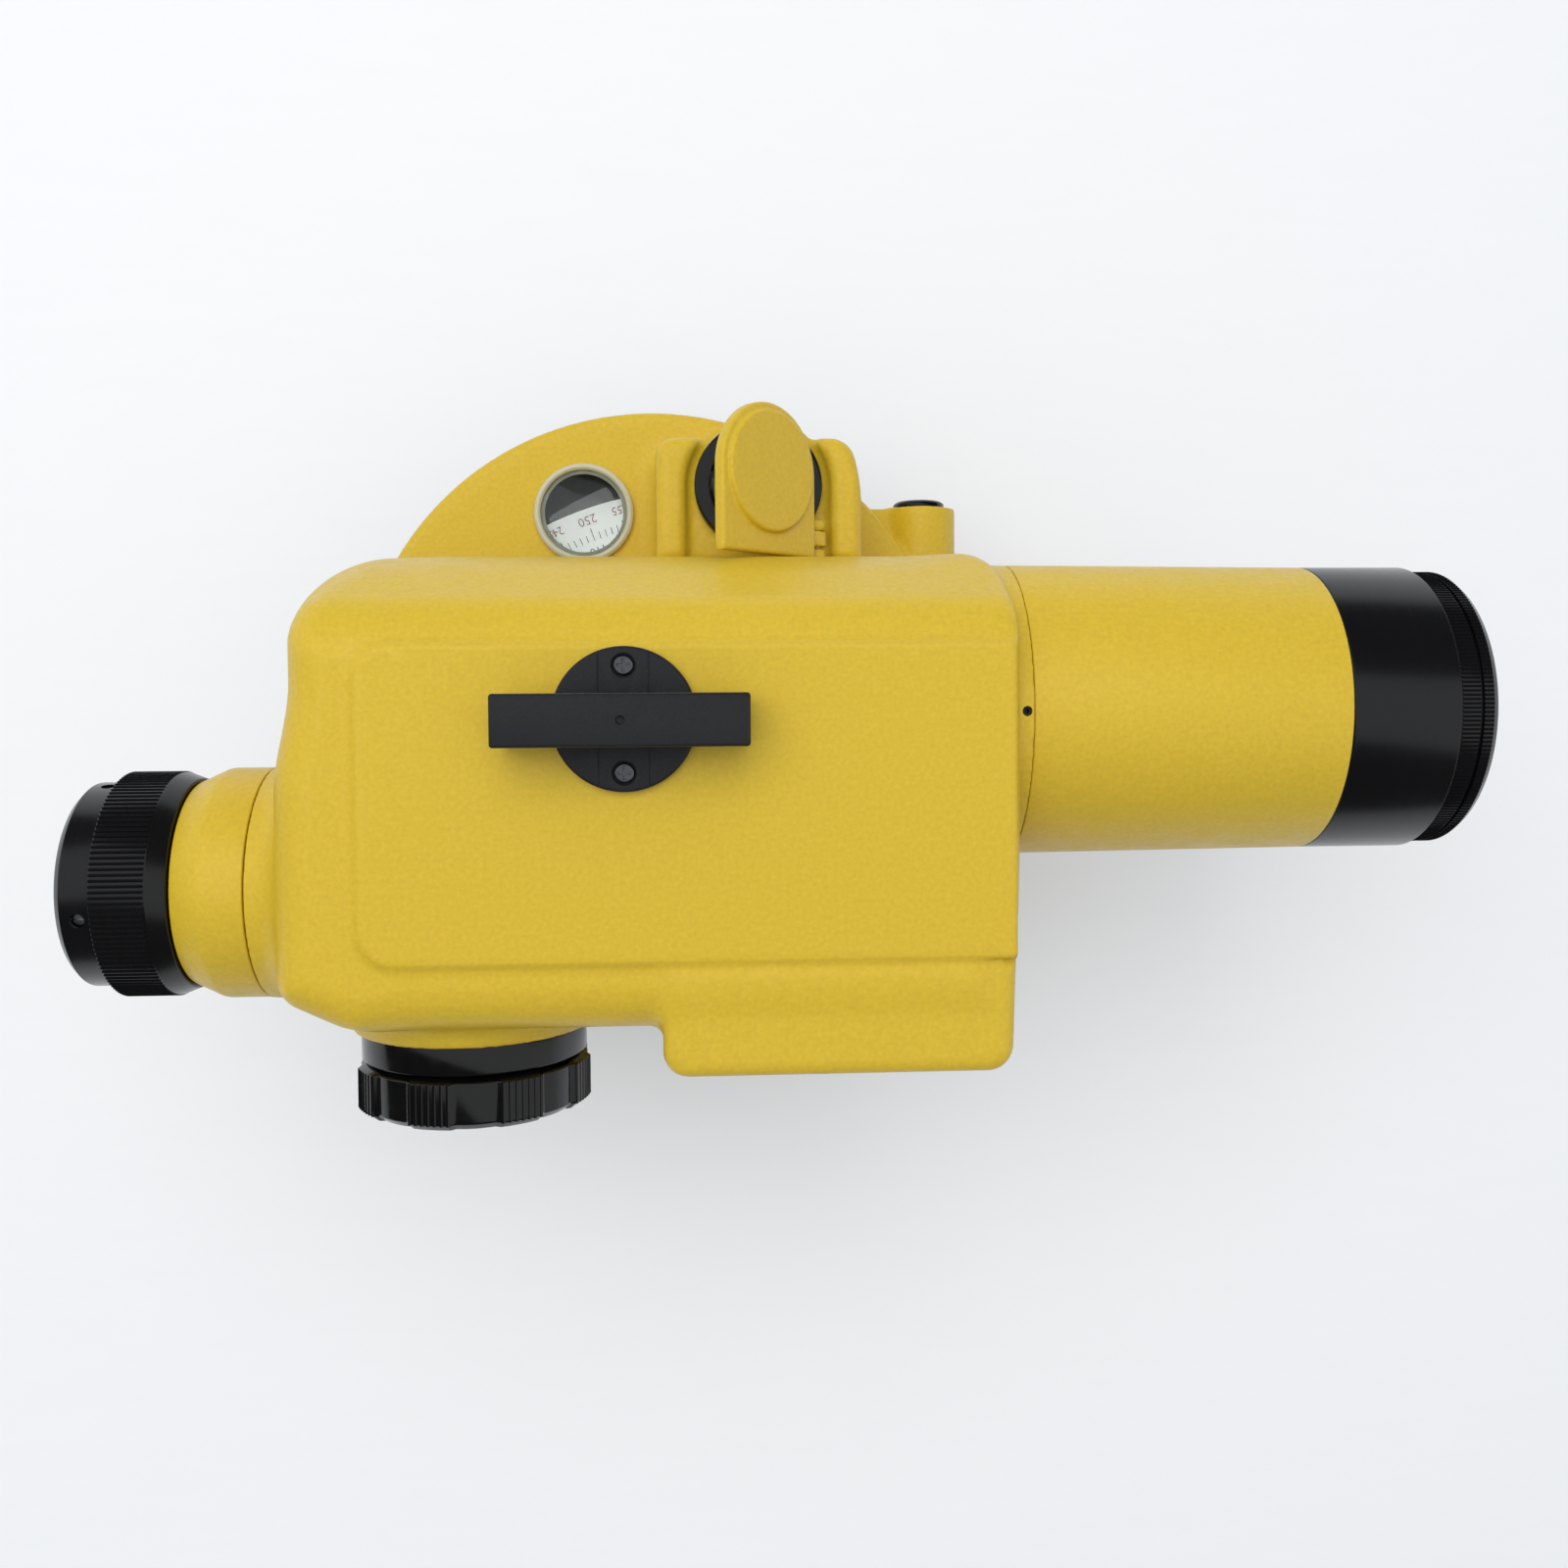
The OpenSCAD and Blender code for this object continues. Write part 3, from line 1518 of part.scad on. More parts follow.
// Places a piece of the mirror at its opening angle
module at_mirror() {
    translate([hinge_x, 0, hinge_z])
        rotate([0, mirror_angle, 0])
            children();
}

// Holder of the vial mirror, with a round outer end and a raised back
module mirror_holder() {
    inner_lug = body_left + body_gap + lug_w + gap;
    outer_lug = block_out - lug_w - gap;
    knuckle_root = hinge_pin_r + 0.4;
    color(yellow)
        difference() {
            union() {
                at_mirror()
                    translate([0, 0, plate_lift]) {
                        linear_extrude(height = holder_t)
                            polygon(rounded([
                                [-holder_w - holder_gap, holder_start, 0], [-holder_gap, holder_start, 0],
                                [-holder_gap, holder_centre_y + holder_end_r, holder_end_r - 0.05],
                                [-holder_w - holder_gap, holder_centre_y + holder_end_r, holder_end_r - 0.05]
                            ]));
                        translate([-holder_end_r - holder_gap, holder_centre_y])
                            cylinder(h = holder_t + 1, r = mirror_r);
                        translate([-holder_gap - 2, inner_lug, 0])
                            cube([holder_gap + 2 - knuckle_root, outer_lug - inner_lug, knuckle_root]);
                    }
                along_y(inner_lug, outer_lug, hinge_x, hinge_z, knuckle_r);
            }
            along_y(inner_lug - over, outer_lug + over, hinge_x, hinge_z, hinge_pin_r + play);
            at_mirror()
                mirror_disc(mirror_r + seat, over);
        }
}

// Disc of the mirror under the holder, reaching low further down
module mirror_disc(r, low) {
    translate([-holder_end_r - holder_gap, holder_centre_y, plate_lift - mirror_proud - low])
        cylinder(h = mirror_t + low, r = r);
}

// Round mirror under the holder
module vial_mirror() {
    color("#dfe6ea")
        at_mirror()
            mirror_disc(mirror_r, 0);
}

// Hinge pin of the mirror, fixed in the block's lugs
module mirror_pin() {
    color(steel)
        along_y(body_left + body_gap + 0.2, block_out, hinge_x, hinge_z, hinge_pin_r);
}

base_plate();
spring_plate();
spring_plate_screws();
tribrach();
foot_bushes();
spindle();
spindle_nut();
foot_screw(foot_angles[0]);  // foot_screw_1
foot_screw(foot_angles[1]);  // foot_screw_2
foot_screw(foot_angles[2]);  // foot_screw_3
circle_carrier();
horizontal_circle();
friction_arm();
friction_clamp_screw();
base_housing();
loupe_rim();
loupe_lens();
vial_housing();
vial_glass();
tangent_bush();
spring_cap();
plunger_spring();
main_housing();
bottom_cover();
cover_screws();
objective_tube();
objective_ring();
objective_front_ring();
objective_lens();
objective_rear_lens();
tube_lock_screw();
eyepiece_barrel();
reticle_ring();
reticle_glass();
guide_rods();
compensator_frame();
fixed_prism();
suspension_tapes();
focus_collar();
peep_sight();
sight_screws();
tangent_screw();
tangent_knob();
tangent_nut();
spring_plunger();
focus_shaft();
focus_knob();
focus_carriage();
focus_lens();
pendulum();
pendulum_prism();
diopter_ring();
diopter_screws();
eyepiece_cell();
eyepiece_lens();
mirror_holder();
vial_mirror();
mirror_pin();
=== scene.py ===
"""Automatic level: the looks of a levelling instrument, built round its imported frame."""
import math

import bmesh
import bpy
import numpy as np
from bpy.props import FloatProperty, FloatVectorProperty, IntProperty, PointerProperty
from mathutils import Matrix, Vector


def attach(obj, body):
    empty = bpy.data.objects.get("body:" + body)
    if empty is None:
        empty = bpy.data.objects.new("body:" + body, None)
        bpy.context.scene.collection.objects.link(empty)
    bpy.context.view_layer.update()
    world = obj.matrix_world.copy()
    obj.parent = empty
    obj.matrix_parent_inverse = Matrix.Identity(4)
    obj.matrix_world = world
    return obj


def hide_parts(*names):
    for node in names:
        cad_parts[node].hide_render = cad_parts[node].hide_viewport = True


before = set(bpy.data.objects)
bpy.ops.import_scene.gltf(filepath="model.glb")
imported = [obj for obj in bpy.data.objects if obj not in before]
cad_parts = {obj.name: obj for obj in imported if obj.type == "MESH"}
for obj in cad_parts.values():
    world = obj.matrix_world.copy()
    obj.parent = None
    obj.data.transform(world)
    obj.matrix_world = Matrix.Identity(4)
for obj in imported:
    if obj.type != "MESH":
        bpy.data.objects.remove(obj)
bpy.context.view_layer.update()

bl_info = {
    "name": "Automatic level",
    "version": (1, 0, 0),
    "blender": (4, 5, 0),
    "location": "View3D > Sidebar > Level",
    "description": "Builds the pieces, finishes and studio of an automatic level",
    "category": "Object",
}

MM = 0.001
FULL_TURN = 2 * math.pi

# Stations along the line of sight, radii and heights, in millimetres
AXIS_Z = 105.0
TUBE_START, TUBE_FRONT, RING_FRONT, MOUTH_FRONT = 70.4, 129.4, 150.2, 157.5
TUBE_R, TUBE_ROOT_R, TUBE_BORE_R, SPIGOT_R, SPIGOT_FIT_R = 28.0, 28.5, 23.2, 25.4, 25.38
LENS_LOW, LENS_TOP, LENS_SEAT_R, LENS_DOME_R, FRONT_RING_R = 136.2, 140.7, 22.52, 20.9, 26.95
LOCK_X = 69.0
BODY_FRONT, BODY_REAR, BODY_LEFT, BODY_RIGHT = 66.9, 65.0, 30.6, 56.2
BULGE_OUT, BULGE_REAR, BULGE_START = 64.0, 3.5, 44.0
SLOPE_Y, SLOPE_NORMAL, REAR_LEAN, FRONT_LEAN = 17.5, (0.889, 0.457), 0.0593, 0.032
ROOF_Z, FLOOR_Z, PANEL_Z = 138.5, 71.0, 139.5
EYE_Y, EYE_JOINT, BARREL_END, DIOPTER_END = -32.3, -71.6, -85.4, -106.1
EYE_BOSS_R, BARREL_R, DIOPTER_R, DIOPTER_NECK_R = 22.3, 22.1, 21.35, 19.5
SET_SCREWS, SET_SCREW_X, SET_SCREW_LOW, SET_SCREW_TURN = 4, -101.7, 17.1, math.radians(13)
FOCUS_X, FOCUS_Z, FOCUS_FACE = -34.5, 103.0, -60.8
KNOB_START, KNOB_END, SHAFT_END, KNOB_R, COLLAR_R, FOCUS_BOSS_R = -66.6, -76.3, -73.3, 22.5, 21.7, 23.0
LOBES, LOBE_TURN = 8, math.radians(13.7)
DISC_R, DISC_TOP, DISC_RIM, PEDESTAL_R = 67.2, 62.0, 42.0, 29.0
VIAL = Vector((22.8, 47.2))
VIAL_RING_R, SADDLE_R = 13.4, 15.0
BLOCK_TOP, SADDLE_TOP, POCKET_FLOOR = 87.0, 84.0, 77.0
HINGE = Vector((34.5, 0.0, 90.0))
LOUPE = Vector((-15.6, 44.4))
LOUPE_LOW, LOUPE_STEM_R, LOUPE_BORE_R, LOUPE_LENS_R = 58.8, 8.6, 9.62, 9.64
TANGENT = Vector((62.0, 0.0, 50.5))
TANGENT_REACH, TANGENT_BACK, TANGENT_BOSS_R = 46.7, 47.7, 8.4
FOOT_REACH = 46.0
FOOT_ANGLES = (90, 210, 330)
BALL_R, BALL_Z = 4.5, 6.2
SIGHT_X, SIGHT_Y, SIGHT_HALF, SIGHT_SCREW = -2.5, -0.8, 21.35, 9.2
MIRROR_U, MIRROR_V, HOLDER_R = -16.9, 47.35, 13.5
# Lamp and camera, in metres and degrees, and the brightness of table and sky
WINDOW_PLACE, WINDOW_AIM, WINDOW_SIZE, WINDOW_POWER = (-0.2, 0.38, 1.15), (0.0, 0.0, 0.1), (1.1, 0.9), 8.2
CAMERA_PLACE, CAMERA_TURN = (11.77 * MM, 2.88 * MM, 382.28 * MM), (1.81, 3.305, 0.374)
FOCAL_LENGTH, SENSOR, SHIFT = 32.256, 36, (-0.003125, -0.0275)
TABLE_GLOW, SKY_SEEN, SKY_LOW, SKY_HIGH, PANEL_BRIGHT, PANEL_DARK = 0.2, 0.86, 0.52, 0.74, 0.66, 0.06


def linear(code):
    """Linear colour from an sRGB hex code"""
    channels = [int(code[i:i + 2], 16) / 255 for i in (0, 2, 4)]
    return tuple(c / 12.92 if c <= 0.04045 else ((c + 0.055) / 1.055) ** 2.4 for c in channels)


def count_of(name, description, default, least):
    """Property that holds a number of things"""
    return IntProperty(name=name, description=description, default=default, min=least)


def colour_of(name, description, code):
    """Property that holds a colour"""
    return FloatVectorProperty(
        name=name, description=description, subtype="COLOR", size=3, min=0, max=1, default=linear(code))


class LevelSizes(bpy.types.PropertyGroup):
    """Sizes of the detail that the pieces carry"""
    casting_grid: FloatProperty(
        name="Casting grid", description="Mesh spacing on the castings", default=0.9 * MM, unit="LENGTH",
        precision=5)
    boss_fillet: FloatProperty(
        name="Boss fillet", description="Radius where the eyepiece boss meets the housing", default=7 * MM,
        unit="LENGTH", precision=5)
    front_ribs: count_of("Front ring ribs", "Number of ribs round the front ring", 212, 60)
    diopter_ribs: count_of("Diopter ribs", "Number of ribs round the diopter ring", 130, 40)
    lobe_ribs: count_of("Ribs on a lobe", "Ribs on each lobe of the focusing knob", 7, 3)
    setting_ribs: count_of("Setting ring ribs", "Number of ribs round the setting ring", 260, 60)
    circle_marks: count_of("Circle marks", "Number of divisions of the horizontal circle", 360, 36)


class LevelColours(bpy.types.PropertyGroup):
    """Colours of the finishes"""
    enamel: colour_of("Enamel", "Yellow stoved enamel of the castings", "D1B12C")
    anodised: colour_of("Black anodising", "Rings and caps", "0C0C0E")
    moulding: colour_of("Black moulding", "Peep sight", "1B1C1E")
    spirit: colour_of("Vial spirit", "Tinted spirit of the circular vial", "C6D15E")


def add(tree, kind, settings=None, inputs=None):
    """A node with its settings, and its inputs set or linked"""
    made = tree.nodes.new(kind)
    for key, value in (settings or {}).items():
        setattr(made, key, value)
    for key, value in (inputs or {}).items():
        if isinstance(value, bpy.types.NodeSocket):
            tree.links.new(value, made.inputs[key])
        else:
            made.inputs[key].default_value = value
    return made


def arithmetic(tree, operation, first, second=0.5):
    """Result of a sum on one or two values"""
    return add(tree, "ShaderNodeMath", {"operation": operation}, {0: first, 1: second}).outputs[0]


def chosen(tree, rays, off, on):
    """One value for most rays and another for the rays of one kind"""
    path = add(tree, "ShaderNodeLightPath").outputs[rays]
    return add(tree, "ShaderNodeMix", {"data_type": "FLOAT"}, {0: path, 2: off, 3: on}).outputs[0]


def started(name, **inputs):
    """A material with its shader, and the coordinates that its patterns read"""
    made = bpy.data.materials.new(name)
    made.use_nodes = True
    tree = made.node_tree
    tree.nodes.clear()
    shader = add(tree, "ShaderNodeBsdfPrincipled", None, {k.replace("_", " "): v for k, v in inputs.items()})
    add(tree, "ShaderNodeOutputMaterial", None, {"Surface": shader.outputs[0]})
    return made, tree, shader, add(tree, "ShaderNodeTexCoord").outputs["Object"]


def grain(tree, where, size, detail=2.0, rough=0.5):
    """Noise whose grain has a real size in metres"""
    return add(tree, "ShaderNodeTexNoise", None,
               {"Vector": where, "Scale": 1 / size, "Detail": detail, "Roughness": rough}).outputs["Fac"]


def gloss(tree, shader, value, low, high):
    """Roughness that wanders with a noise between two values"""
    spread = add(tree, "ShaderNodeMapRange", None, {
        "Value": value, "From Min": 0.3, "From Max": 0.7, "To Min": low, "To Max": high})
    tree.links.new(spread.outputs[0], shader.inputs["Roughness"])


def shades(tree, shader, value, colour, spread):
    """Base colour that wanders a little round its mean"""
    darker = tuple(c * (1 - spread) for c in colour) + (1,)
    lighter = tuple(min(1, c * (1 + spread)) for c in colour) + (1,)
    mixed = add(tree, "ShaderNodeMix", {"data_type": "RGBA"}, {0: value, 6: darker, 7: lighter})
    tree.links.new(mixed.outputs[2], shader.inputs["Base Color"])


def glowing(tree, shader, rays, strength):
    """White glow that only some rays see"""
    shader.inputs["Emission Color"].default_value = (1, 1, 1, 1)
    tree.links.new(arithmetic(tree, "MULTIPLY", rays, strength), shader.inputs["Emission Strength"])


def embossed(tree, shader, height, depth, strength):
    """Relief of a real depth in metres"""
    bump = add(tree, "ShaderNodeBump", None, {"Strength": strength, "Distance": depth, "Height": height})
    tree.links.new(bump.outputs[0], shader.inputs["Normal"])


def stretched(tree, where, scale):
    """Coordinates stretched along the axes"""
    return add(tree, "ShaderNodeMapping", None, {"Vector": where, "Scale": scale}).outputs[0]


def enamel():
    # Stoved enamel sprayed on cast aluminium: semi-gloss, with an orange peel of about 1 mm
    colour = tuple(bpy.context.scene.level_colours.enamel)
    made, tree, shader, where = started("stoved_enamel_yellow", IOR=1.5)
    peel = grain(tree, where, 1.1 * MM, 2.5, 0.55)
    shades(tree, shader, grain(tree, where, 0.9 * MM, 3.0, 0.6), colour, 0.16)
    gloss(tree, shader, grain(tree, where, 2.5 * MM), 0.34, 0.46)
    embossed(tree, shader, peel, 0.05 * MM, 0.55)
    return made


def anodised(axis):
    # Black anodised aluminium turned in a lathe: satin, with fine rings left by the tool, drawn 0.3 mm apart
    colour = tuple(bpy.context.scene.level_colours.anodised)
    made, tree, shader, where = started("anodised_aluminium_black_" + axis.lower(), IOR=1.5)
    across = tuple(1.0 if a == axis else 0.01 for a in "XYZ")
    rings = grain(tree, stretched(tree, where, across), 0.3 * MM, 3.0, 0.6)
    shades(tree, shader, grain(tree, where, 6 * MM), colour, 0.15)
    gloss(tree, shader, rings, 0.2, 0.26)
    embossed(tree, shader, rings, 0.003 * MM, 0.3)
    return made


def polished_black():
    # Black anodised aluminium, polished: sharp highlights and faint handling marks
    made, tree, shader, where = started("polished_anodised_black", IOR=1.52)
    shades(tree, shader, grain(tree, where, 5 * MM), linear("080809"), 0.2)
    gloss(tree, shader, grain(tree, where, 3 * MM, 4.0), 0.10, 0.2)
    return made


def moulded_black():
    # Injection-moulded ABS with a spark-eroded grain of about 0.4 mm: matt with a soft sheen
    colour = tuple(bpy.context.scene.level_colours.moulding)
    made, tree, shader, where = started("moulded_abs_black", IOR=1.53)
    fine = grain(tree, where, 0.45 * MM, 2.0)
    shades(tree, shader, grain(tree, where, 8 * MM), colour, 0.1)
    gloss(tree, shader, fine, 0.48, 0.6)
    embossed(tree, shader, fine, 0.03 * MM, 0.6)
    return made


def painted_black():
    # Satin black paint on die-cast metal, with a fine orange peel
    made, tree, shader, where = started("satin_paint_black", IOR=1.5)
    shades(tree, shader, grain(tree, where, 10 * MM), linear("232426"), 0.12)
    gloss(tree, shader, grain(tree, where, 2 * MM), 0.38, 0.5)
    embossed(tree, shader, grain(tree, where, 1.0 * MM, 2.5), 0.04 * MM, 0.5)
    return made


def metal(name, code, roughness, lines=0.25, axis="Z"):
    # Bare turned or brushed metal: the tool's lines spread the highlight across them
    across = tuple(1.0 if a == axis else 0.02 for a in "XYZ")
    made, tree, shader, where = started(name, Metallic=1.0)
    rings = grain(tree, stretched(tree, where, across), lines * MM, 3.0, 0.6)
    shades(tree, shader, grain(tree, where, 4 * MM), linear(code), 0.06)
    gloss(tree, shader, rings, roughness - 0.06, roughness + 0.08)
    embossed(tree, shader, rings, 0.008 * MM, 0.5)
    return made


def clear(name, code, roughness=0.0, index=1.52):
    # Polished optical glass, with a trace of dust in its gloss
    made, tree, shader, where = started(
        name, Base_Color=(*linear(code), 1), Transmission_Weight=1.0, IOR=index)
    gloss(tree, shader, grain(tree, where, 6 * MM, 3.0), roughness, roughness + 0.03)
    return made


def milky_acrylic():
    # Cast acrylic gone milky: light passes a little way in, so its edge glows
    made, tree, shader, where = started(
        "cast_acrylic_milky", IOR=1.49, Subsurface_Weight=0.6, Subsurface_Scale=1.5 * MM,
        Subsurface_Radius=(1.0, 0.9, 0.7), Transmission_Weight=0.25)
    shades(tree, shader, grain(tree, where, 3 * MM), linear("DEDCC4"), 0.01)
    gloss(tree, shader, grain(tree, where, 6 * MM), 0.2, 0.26)
    return made


def printed(name, code, roughness=0.5):
    # Baked enamel or printing ink: thin, flat and a little uneven
    made, tree, shader, where = started(name, IOR=1.5)
    shades(tree, shader, grain(tree, where, 0.8 * MM), linear(code), 0.04)
    gloss(tree, shader, grain(tree, where, 1.2 * MM), roughness - 0.05, roughness + 0.05)
    return made


def scale_enamel():
    # Baked white enamel of the circle; the glow stands for the light that the loupe gathers on it
    made = printed("baked_enamel_white", "F2F2EE")
    tree = made.node_tree
    shader = next(n for n in tree.nodes if n.type == "BSDF_PRINCIPLED")
    glowing(tree, shader, add(tree, "ShaderNodeLightPath").outputs["Is Transmission Ray"], 0.4)
    return made


def spirit_filling():
    # Tinted spirit lit from all round: even in colour, glossy, and a little translucent
    colour = tuple(bpy.context.scene.level_colours.spirit)
    made, tree, shader, where = started(
        "tinted_spirit", IOR=1.36, Subsurface_Weight=0.3, Subsurface_Scale=2 * MM)
    shades(tree, shader, grain(tree, where, 5 * MM), colour, 0.04)
    gloss(tree, shader, grain(tree, where, 4 * MM), 0.03, 0.08)
    return made


def silvered():
    # Front-silvered glass, clean but for a few faint smears
    made, tree, shader, where = started("silvered_glass", Metallic=1.0)
    shades(tree, shader, grain(tree, where, 5 * MM), linear("E8ECEE"), 0.02)
    gloss(tree, shader, grain(tree, where, 4 * MM, 4.0), 0.02, 0.08)
    return made


FINISHES = {
    "enamel": enamel,
    "anodised_x": lambda: anodised("X"),
    "anodised_y": lambda: anodised("Y"),
    "anodised_z": lambda: anodised("Z"),
    "polished": polished_black,
    "moulded": moulded_black,
    "painted": painted_black,
    "steel": lambda: metal("turned_steel", "B4B7BB", 0.28),
    "steel_y": lambda: metal("ground_steel", "B4B7BB", 0.25, 0.2, "Y"),
    "blackened": lambda: metal("blackened_steel", "6C6D70", 0.3),
    "brass": lambda: metal("turned_brass", "B9964F", 0.3),
    "alloy": lambda: metal("machined_aluminium", "A6A9AC", 0.38, 0.4, "X"),
    "glass": lambda: clear("polished_crown_glass", "F4FAF8"),
    "coated": lambda: clear("coated_objective_glass", "EAF2F6", 0.0, 1.6),
    "acrylic": milky_acrylic,
    "scale": scale_enamel,
    "backing": lambda: printed("blackened_brass", "1A1A1B", 0.6),
    "ink_black": lambda: printed("printing_ink_black", "1B1B1D"),
    "ink_red": lambda: printed("printing_ink_red", "C7352E"),
    "spirit": spirit_filling,
    "silvered": silvered,
}
_finishes = {}


def finish(key):
    """A finish, made when it is first asked for"""
    if key not in _finishes:
        _finishes[key] = FINISHES[key]()
    return _finishes[key]


def new_object(name, vertices, faces):
    """Mesh object from points in millimetres"""
    mesh = bpy.data.meshes.new(name)
    mesh.from_pydata([tuple(MM * c for c in v) for v in vertices], [], faces)
    made = bpy.data.objects.new(name, mesh)
    bpy.context.scene.collection.objects.link(made)
    return made


def outward(piece):
    """Merges doubles and turns the faces outwards"""
    shell = bmesh.new()
    shell.from_mesh(piece.data)
    bmesh.ops.remove_doubles(shell, verts=shell.verts, dist=0.0005 * MM)
    bmesh.ops.recalc_face_normals(shell, faces=shell.faces)
    shell.to_mesh(piece.data)
    shell.free()
    return piece


def applied(piece):
    """The piece with its modifiers made part of its mesh"""
    graph = bpy.context.evaluated_depsgraph_get()
    made = bpy.data.meshes.new_from_object(piece.evaluated_get(graph))
    old = piece.data
    piece.modifiers.clear()
    piece.data = made
    bpy.data.meshes.remove(old)
    made.name = piece.name
    return piece


def cut(piece, *cutters, solver="EXACT"):
    """Takes each cutter out of the piece"""
    for cutter in cutters:
        modifier = piece.modifiers.new("cut", "BOOLEAN")
        modifier.operation = "DIFFERENCE"
        modifier.solver = solver
        modifier.object = cutter
        applied(piece)
        bpy.data.objects.remove(cutter)
    return piece


def bevelled(piece, width, segments=3, angle=35):
    """Rounds the sharp edges"""
    modifier = piece.modifiers.new("bevel", "BEVEL")
    modifier.width = width * MM
    modifier.segments = segments
    modifier.limit_method = "ANGLE"
    modifier.angle_limit = math.radians(angle)
    modifier.use_clamp_overlap = True
    return applied(piece)


def joined(piece, *others):
    """One mesh of several pieces"""
    shell = bmesh.new()
    shell.from_mesh(piece.data)
    for other in others:
        shell.from_mesh(other.data)
        bpy.data.objects.remove(other)
    shell.to_mesh(piece.data)
    shell.free()
    return piece


def placed(piece, finish_key, body, replaced=(), sharp=40):
    """Finish, shading, body and CAD nodes of a finished piece"""
    piece.data.materials.clear()
    piece.data.materials.append(finish(finish_key))
    piece.data.polygons.foreach_set("material_index", [0] * len(piece.data.polygons))
    piece.data.shade_smooth()
    piece.data.set_sharp_from_angle(angle=math.radians(sharp))
    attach(piece, body)
    if replaced:
        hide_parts(*replaced)
    return piece


def softened(points, steps=4):
    """Closed outline from [x, y, corner radius] points"""
    line = []
    for i, point in enumerate(points):
        corner = Vector(point[:2])
        radius = point[2] if len(point) > 2 else 0
        if not radius:
            line.append(corner)
            continue
        back = (Vector(points[i - 1][:2]) - corner).normalized()
        ahead = (Vector(points[(i + 1) % len(points)][:2]) - corner).normalized()
        half = back.angle(ahead) / 2
        centre = corner + (back + ahead).normalized() * radius / math.sin(half)
        first = corner + back * radius / math.tan(half) - centre
        last = corner + ahead * radius / math.tan(half) - centre
        start = math.atan2(first.y, first.x)
        turn = (math.atan2(last.y, last.x) - start + math.pi) % FULL_TURN - math.pi
        for k in range(steps + 1):
            angle = start + turn * k / steps
            line.append(centre + radius * Vector((math.cos(angle), math.sin(angle))))
    return line


def on_axis(axis, centre, station, radius, angle):
    """Point at a radius and angle round an axis; the angle starts at the top, or at +X round Z"""
    if axis == "X":
        return (station, centre[1] - radius * math.sin(angle), centre[2] + radius * math.cos(angle))
    if axis == "Y":
        return (centre[0] + radius * math.sin(angle), station, centre[2] + radius * math.cos(angle))
    return (centre[0] + radius * math.cos(angle), centre[1] + radius * math.sin(angle), station)


def turned(name, axis, centre, profile, segments=144, wave=None, steps=4):
    """Closed profile of [station, radius, corner radius] points turned about an axis"""
    line = softened(profile, steps)
    vertices, rows = [], []
    for station, radius in line:
        if radius < 1e-6:
            rows.append([len(vertices)])
            vertices.append(on_axis(axis, centre, station, 0, 0))
            continue
        rows.append(list(range(len(vertices), len(vertices) + segments)))
        for i in range(segments):
            angle = FULL_TURN * i / segments
            reach = wave(station, radius, angle) if wave else radius
            vertices.append(on_axis(axis, centre, station, reach, angle))
    faces = []
    for low, high in zip(rows, rows[1:] + rows[:1]):
        for i in range(segments):
            j = (i + 1) % segments
            if len(low) > 1 and len(high) > 1:
                faces.append((low[i], low[j], high[j], high[i]))
            elif len(high) > 1:
                faces.append((low[0], high[j], high[i]))
            elif len(low) > 1:
                faces.append((low[i], low[j], high[0]))
    return outward(new_object(name, vertices, faces))


def prism(name, outline, low, high):
    """Outline drawn out between two heights"""
    count = len(outline)
    vertices = [(p[0], p[1], h) for h in (low, high) for p in outline]
    faces = [tuple(range(count)), tuple(range(2 * count - 1, count - 1, -1))]
    faces += [(i, (i + 1) % count, (i + 1) % count + count, i + count) for i in range(count)]
    return outward(new_object(name, vertices, faces))


def bar(name, low, high):
    """Box between two corners"""
    outline = [(low[0], low[1]), (high[0], low[1]), (high[0], high[1]), (low[0], high[1])]
    return prism(name, outline, low[2], high[2])


def rod(name, axis, centre, start, end, radius, segments=96):
    """Straight cylinder between two stations on an axis"""
    return turned(name, axis, centre, [(start, 0), (start, radius), (end, radius), (end, 0)], segments)


def dome(rim, rise, radius, steps=12):
    """Stations and radii of a shallow dome, from its top to its rim"""
    return [(rim + rise * (1 - (k / steps) ** 2), radius * k / steps) for k in range(steps + 1)]


def round_z(radius, degrees, third=0):
    """Place at a radius and an angle round the vertical axis, with its height or corner radius"""
    angle = math.radians(degrees)
    return (radius * math.cos(angle), radius * math.sin(angle), third)


def both(a, b, r):
    """Field of what lies inside both shapes, its edge rounded"""
    return np.minimum(np.maximum(a, b), -r) + np.hypot(np.maximum(a + r, 0), np.maximum(b + r, 0))


def either(a, b, r):
    """Field of two shapes that grow into each other with a fillet"""
    return np.maximum(np.minimum(a, b), r) - np.hypot(np.maximum(r - a, 0), np.maximum(r - b, 0))


def step_up(value, start, end):
    """Smooth rise from 0 at start to 1 at end"""
    t = np.clip((value - start) / (end - start), 0, 1)
    return t * t * (3 - 2 * t)


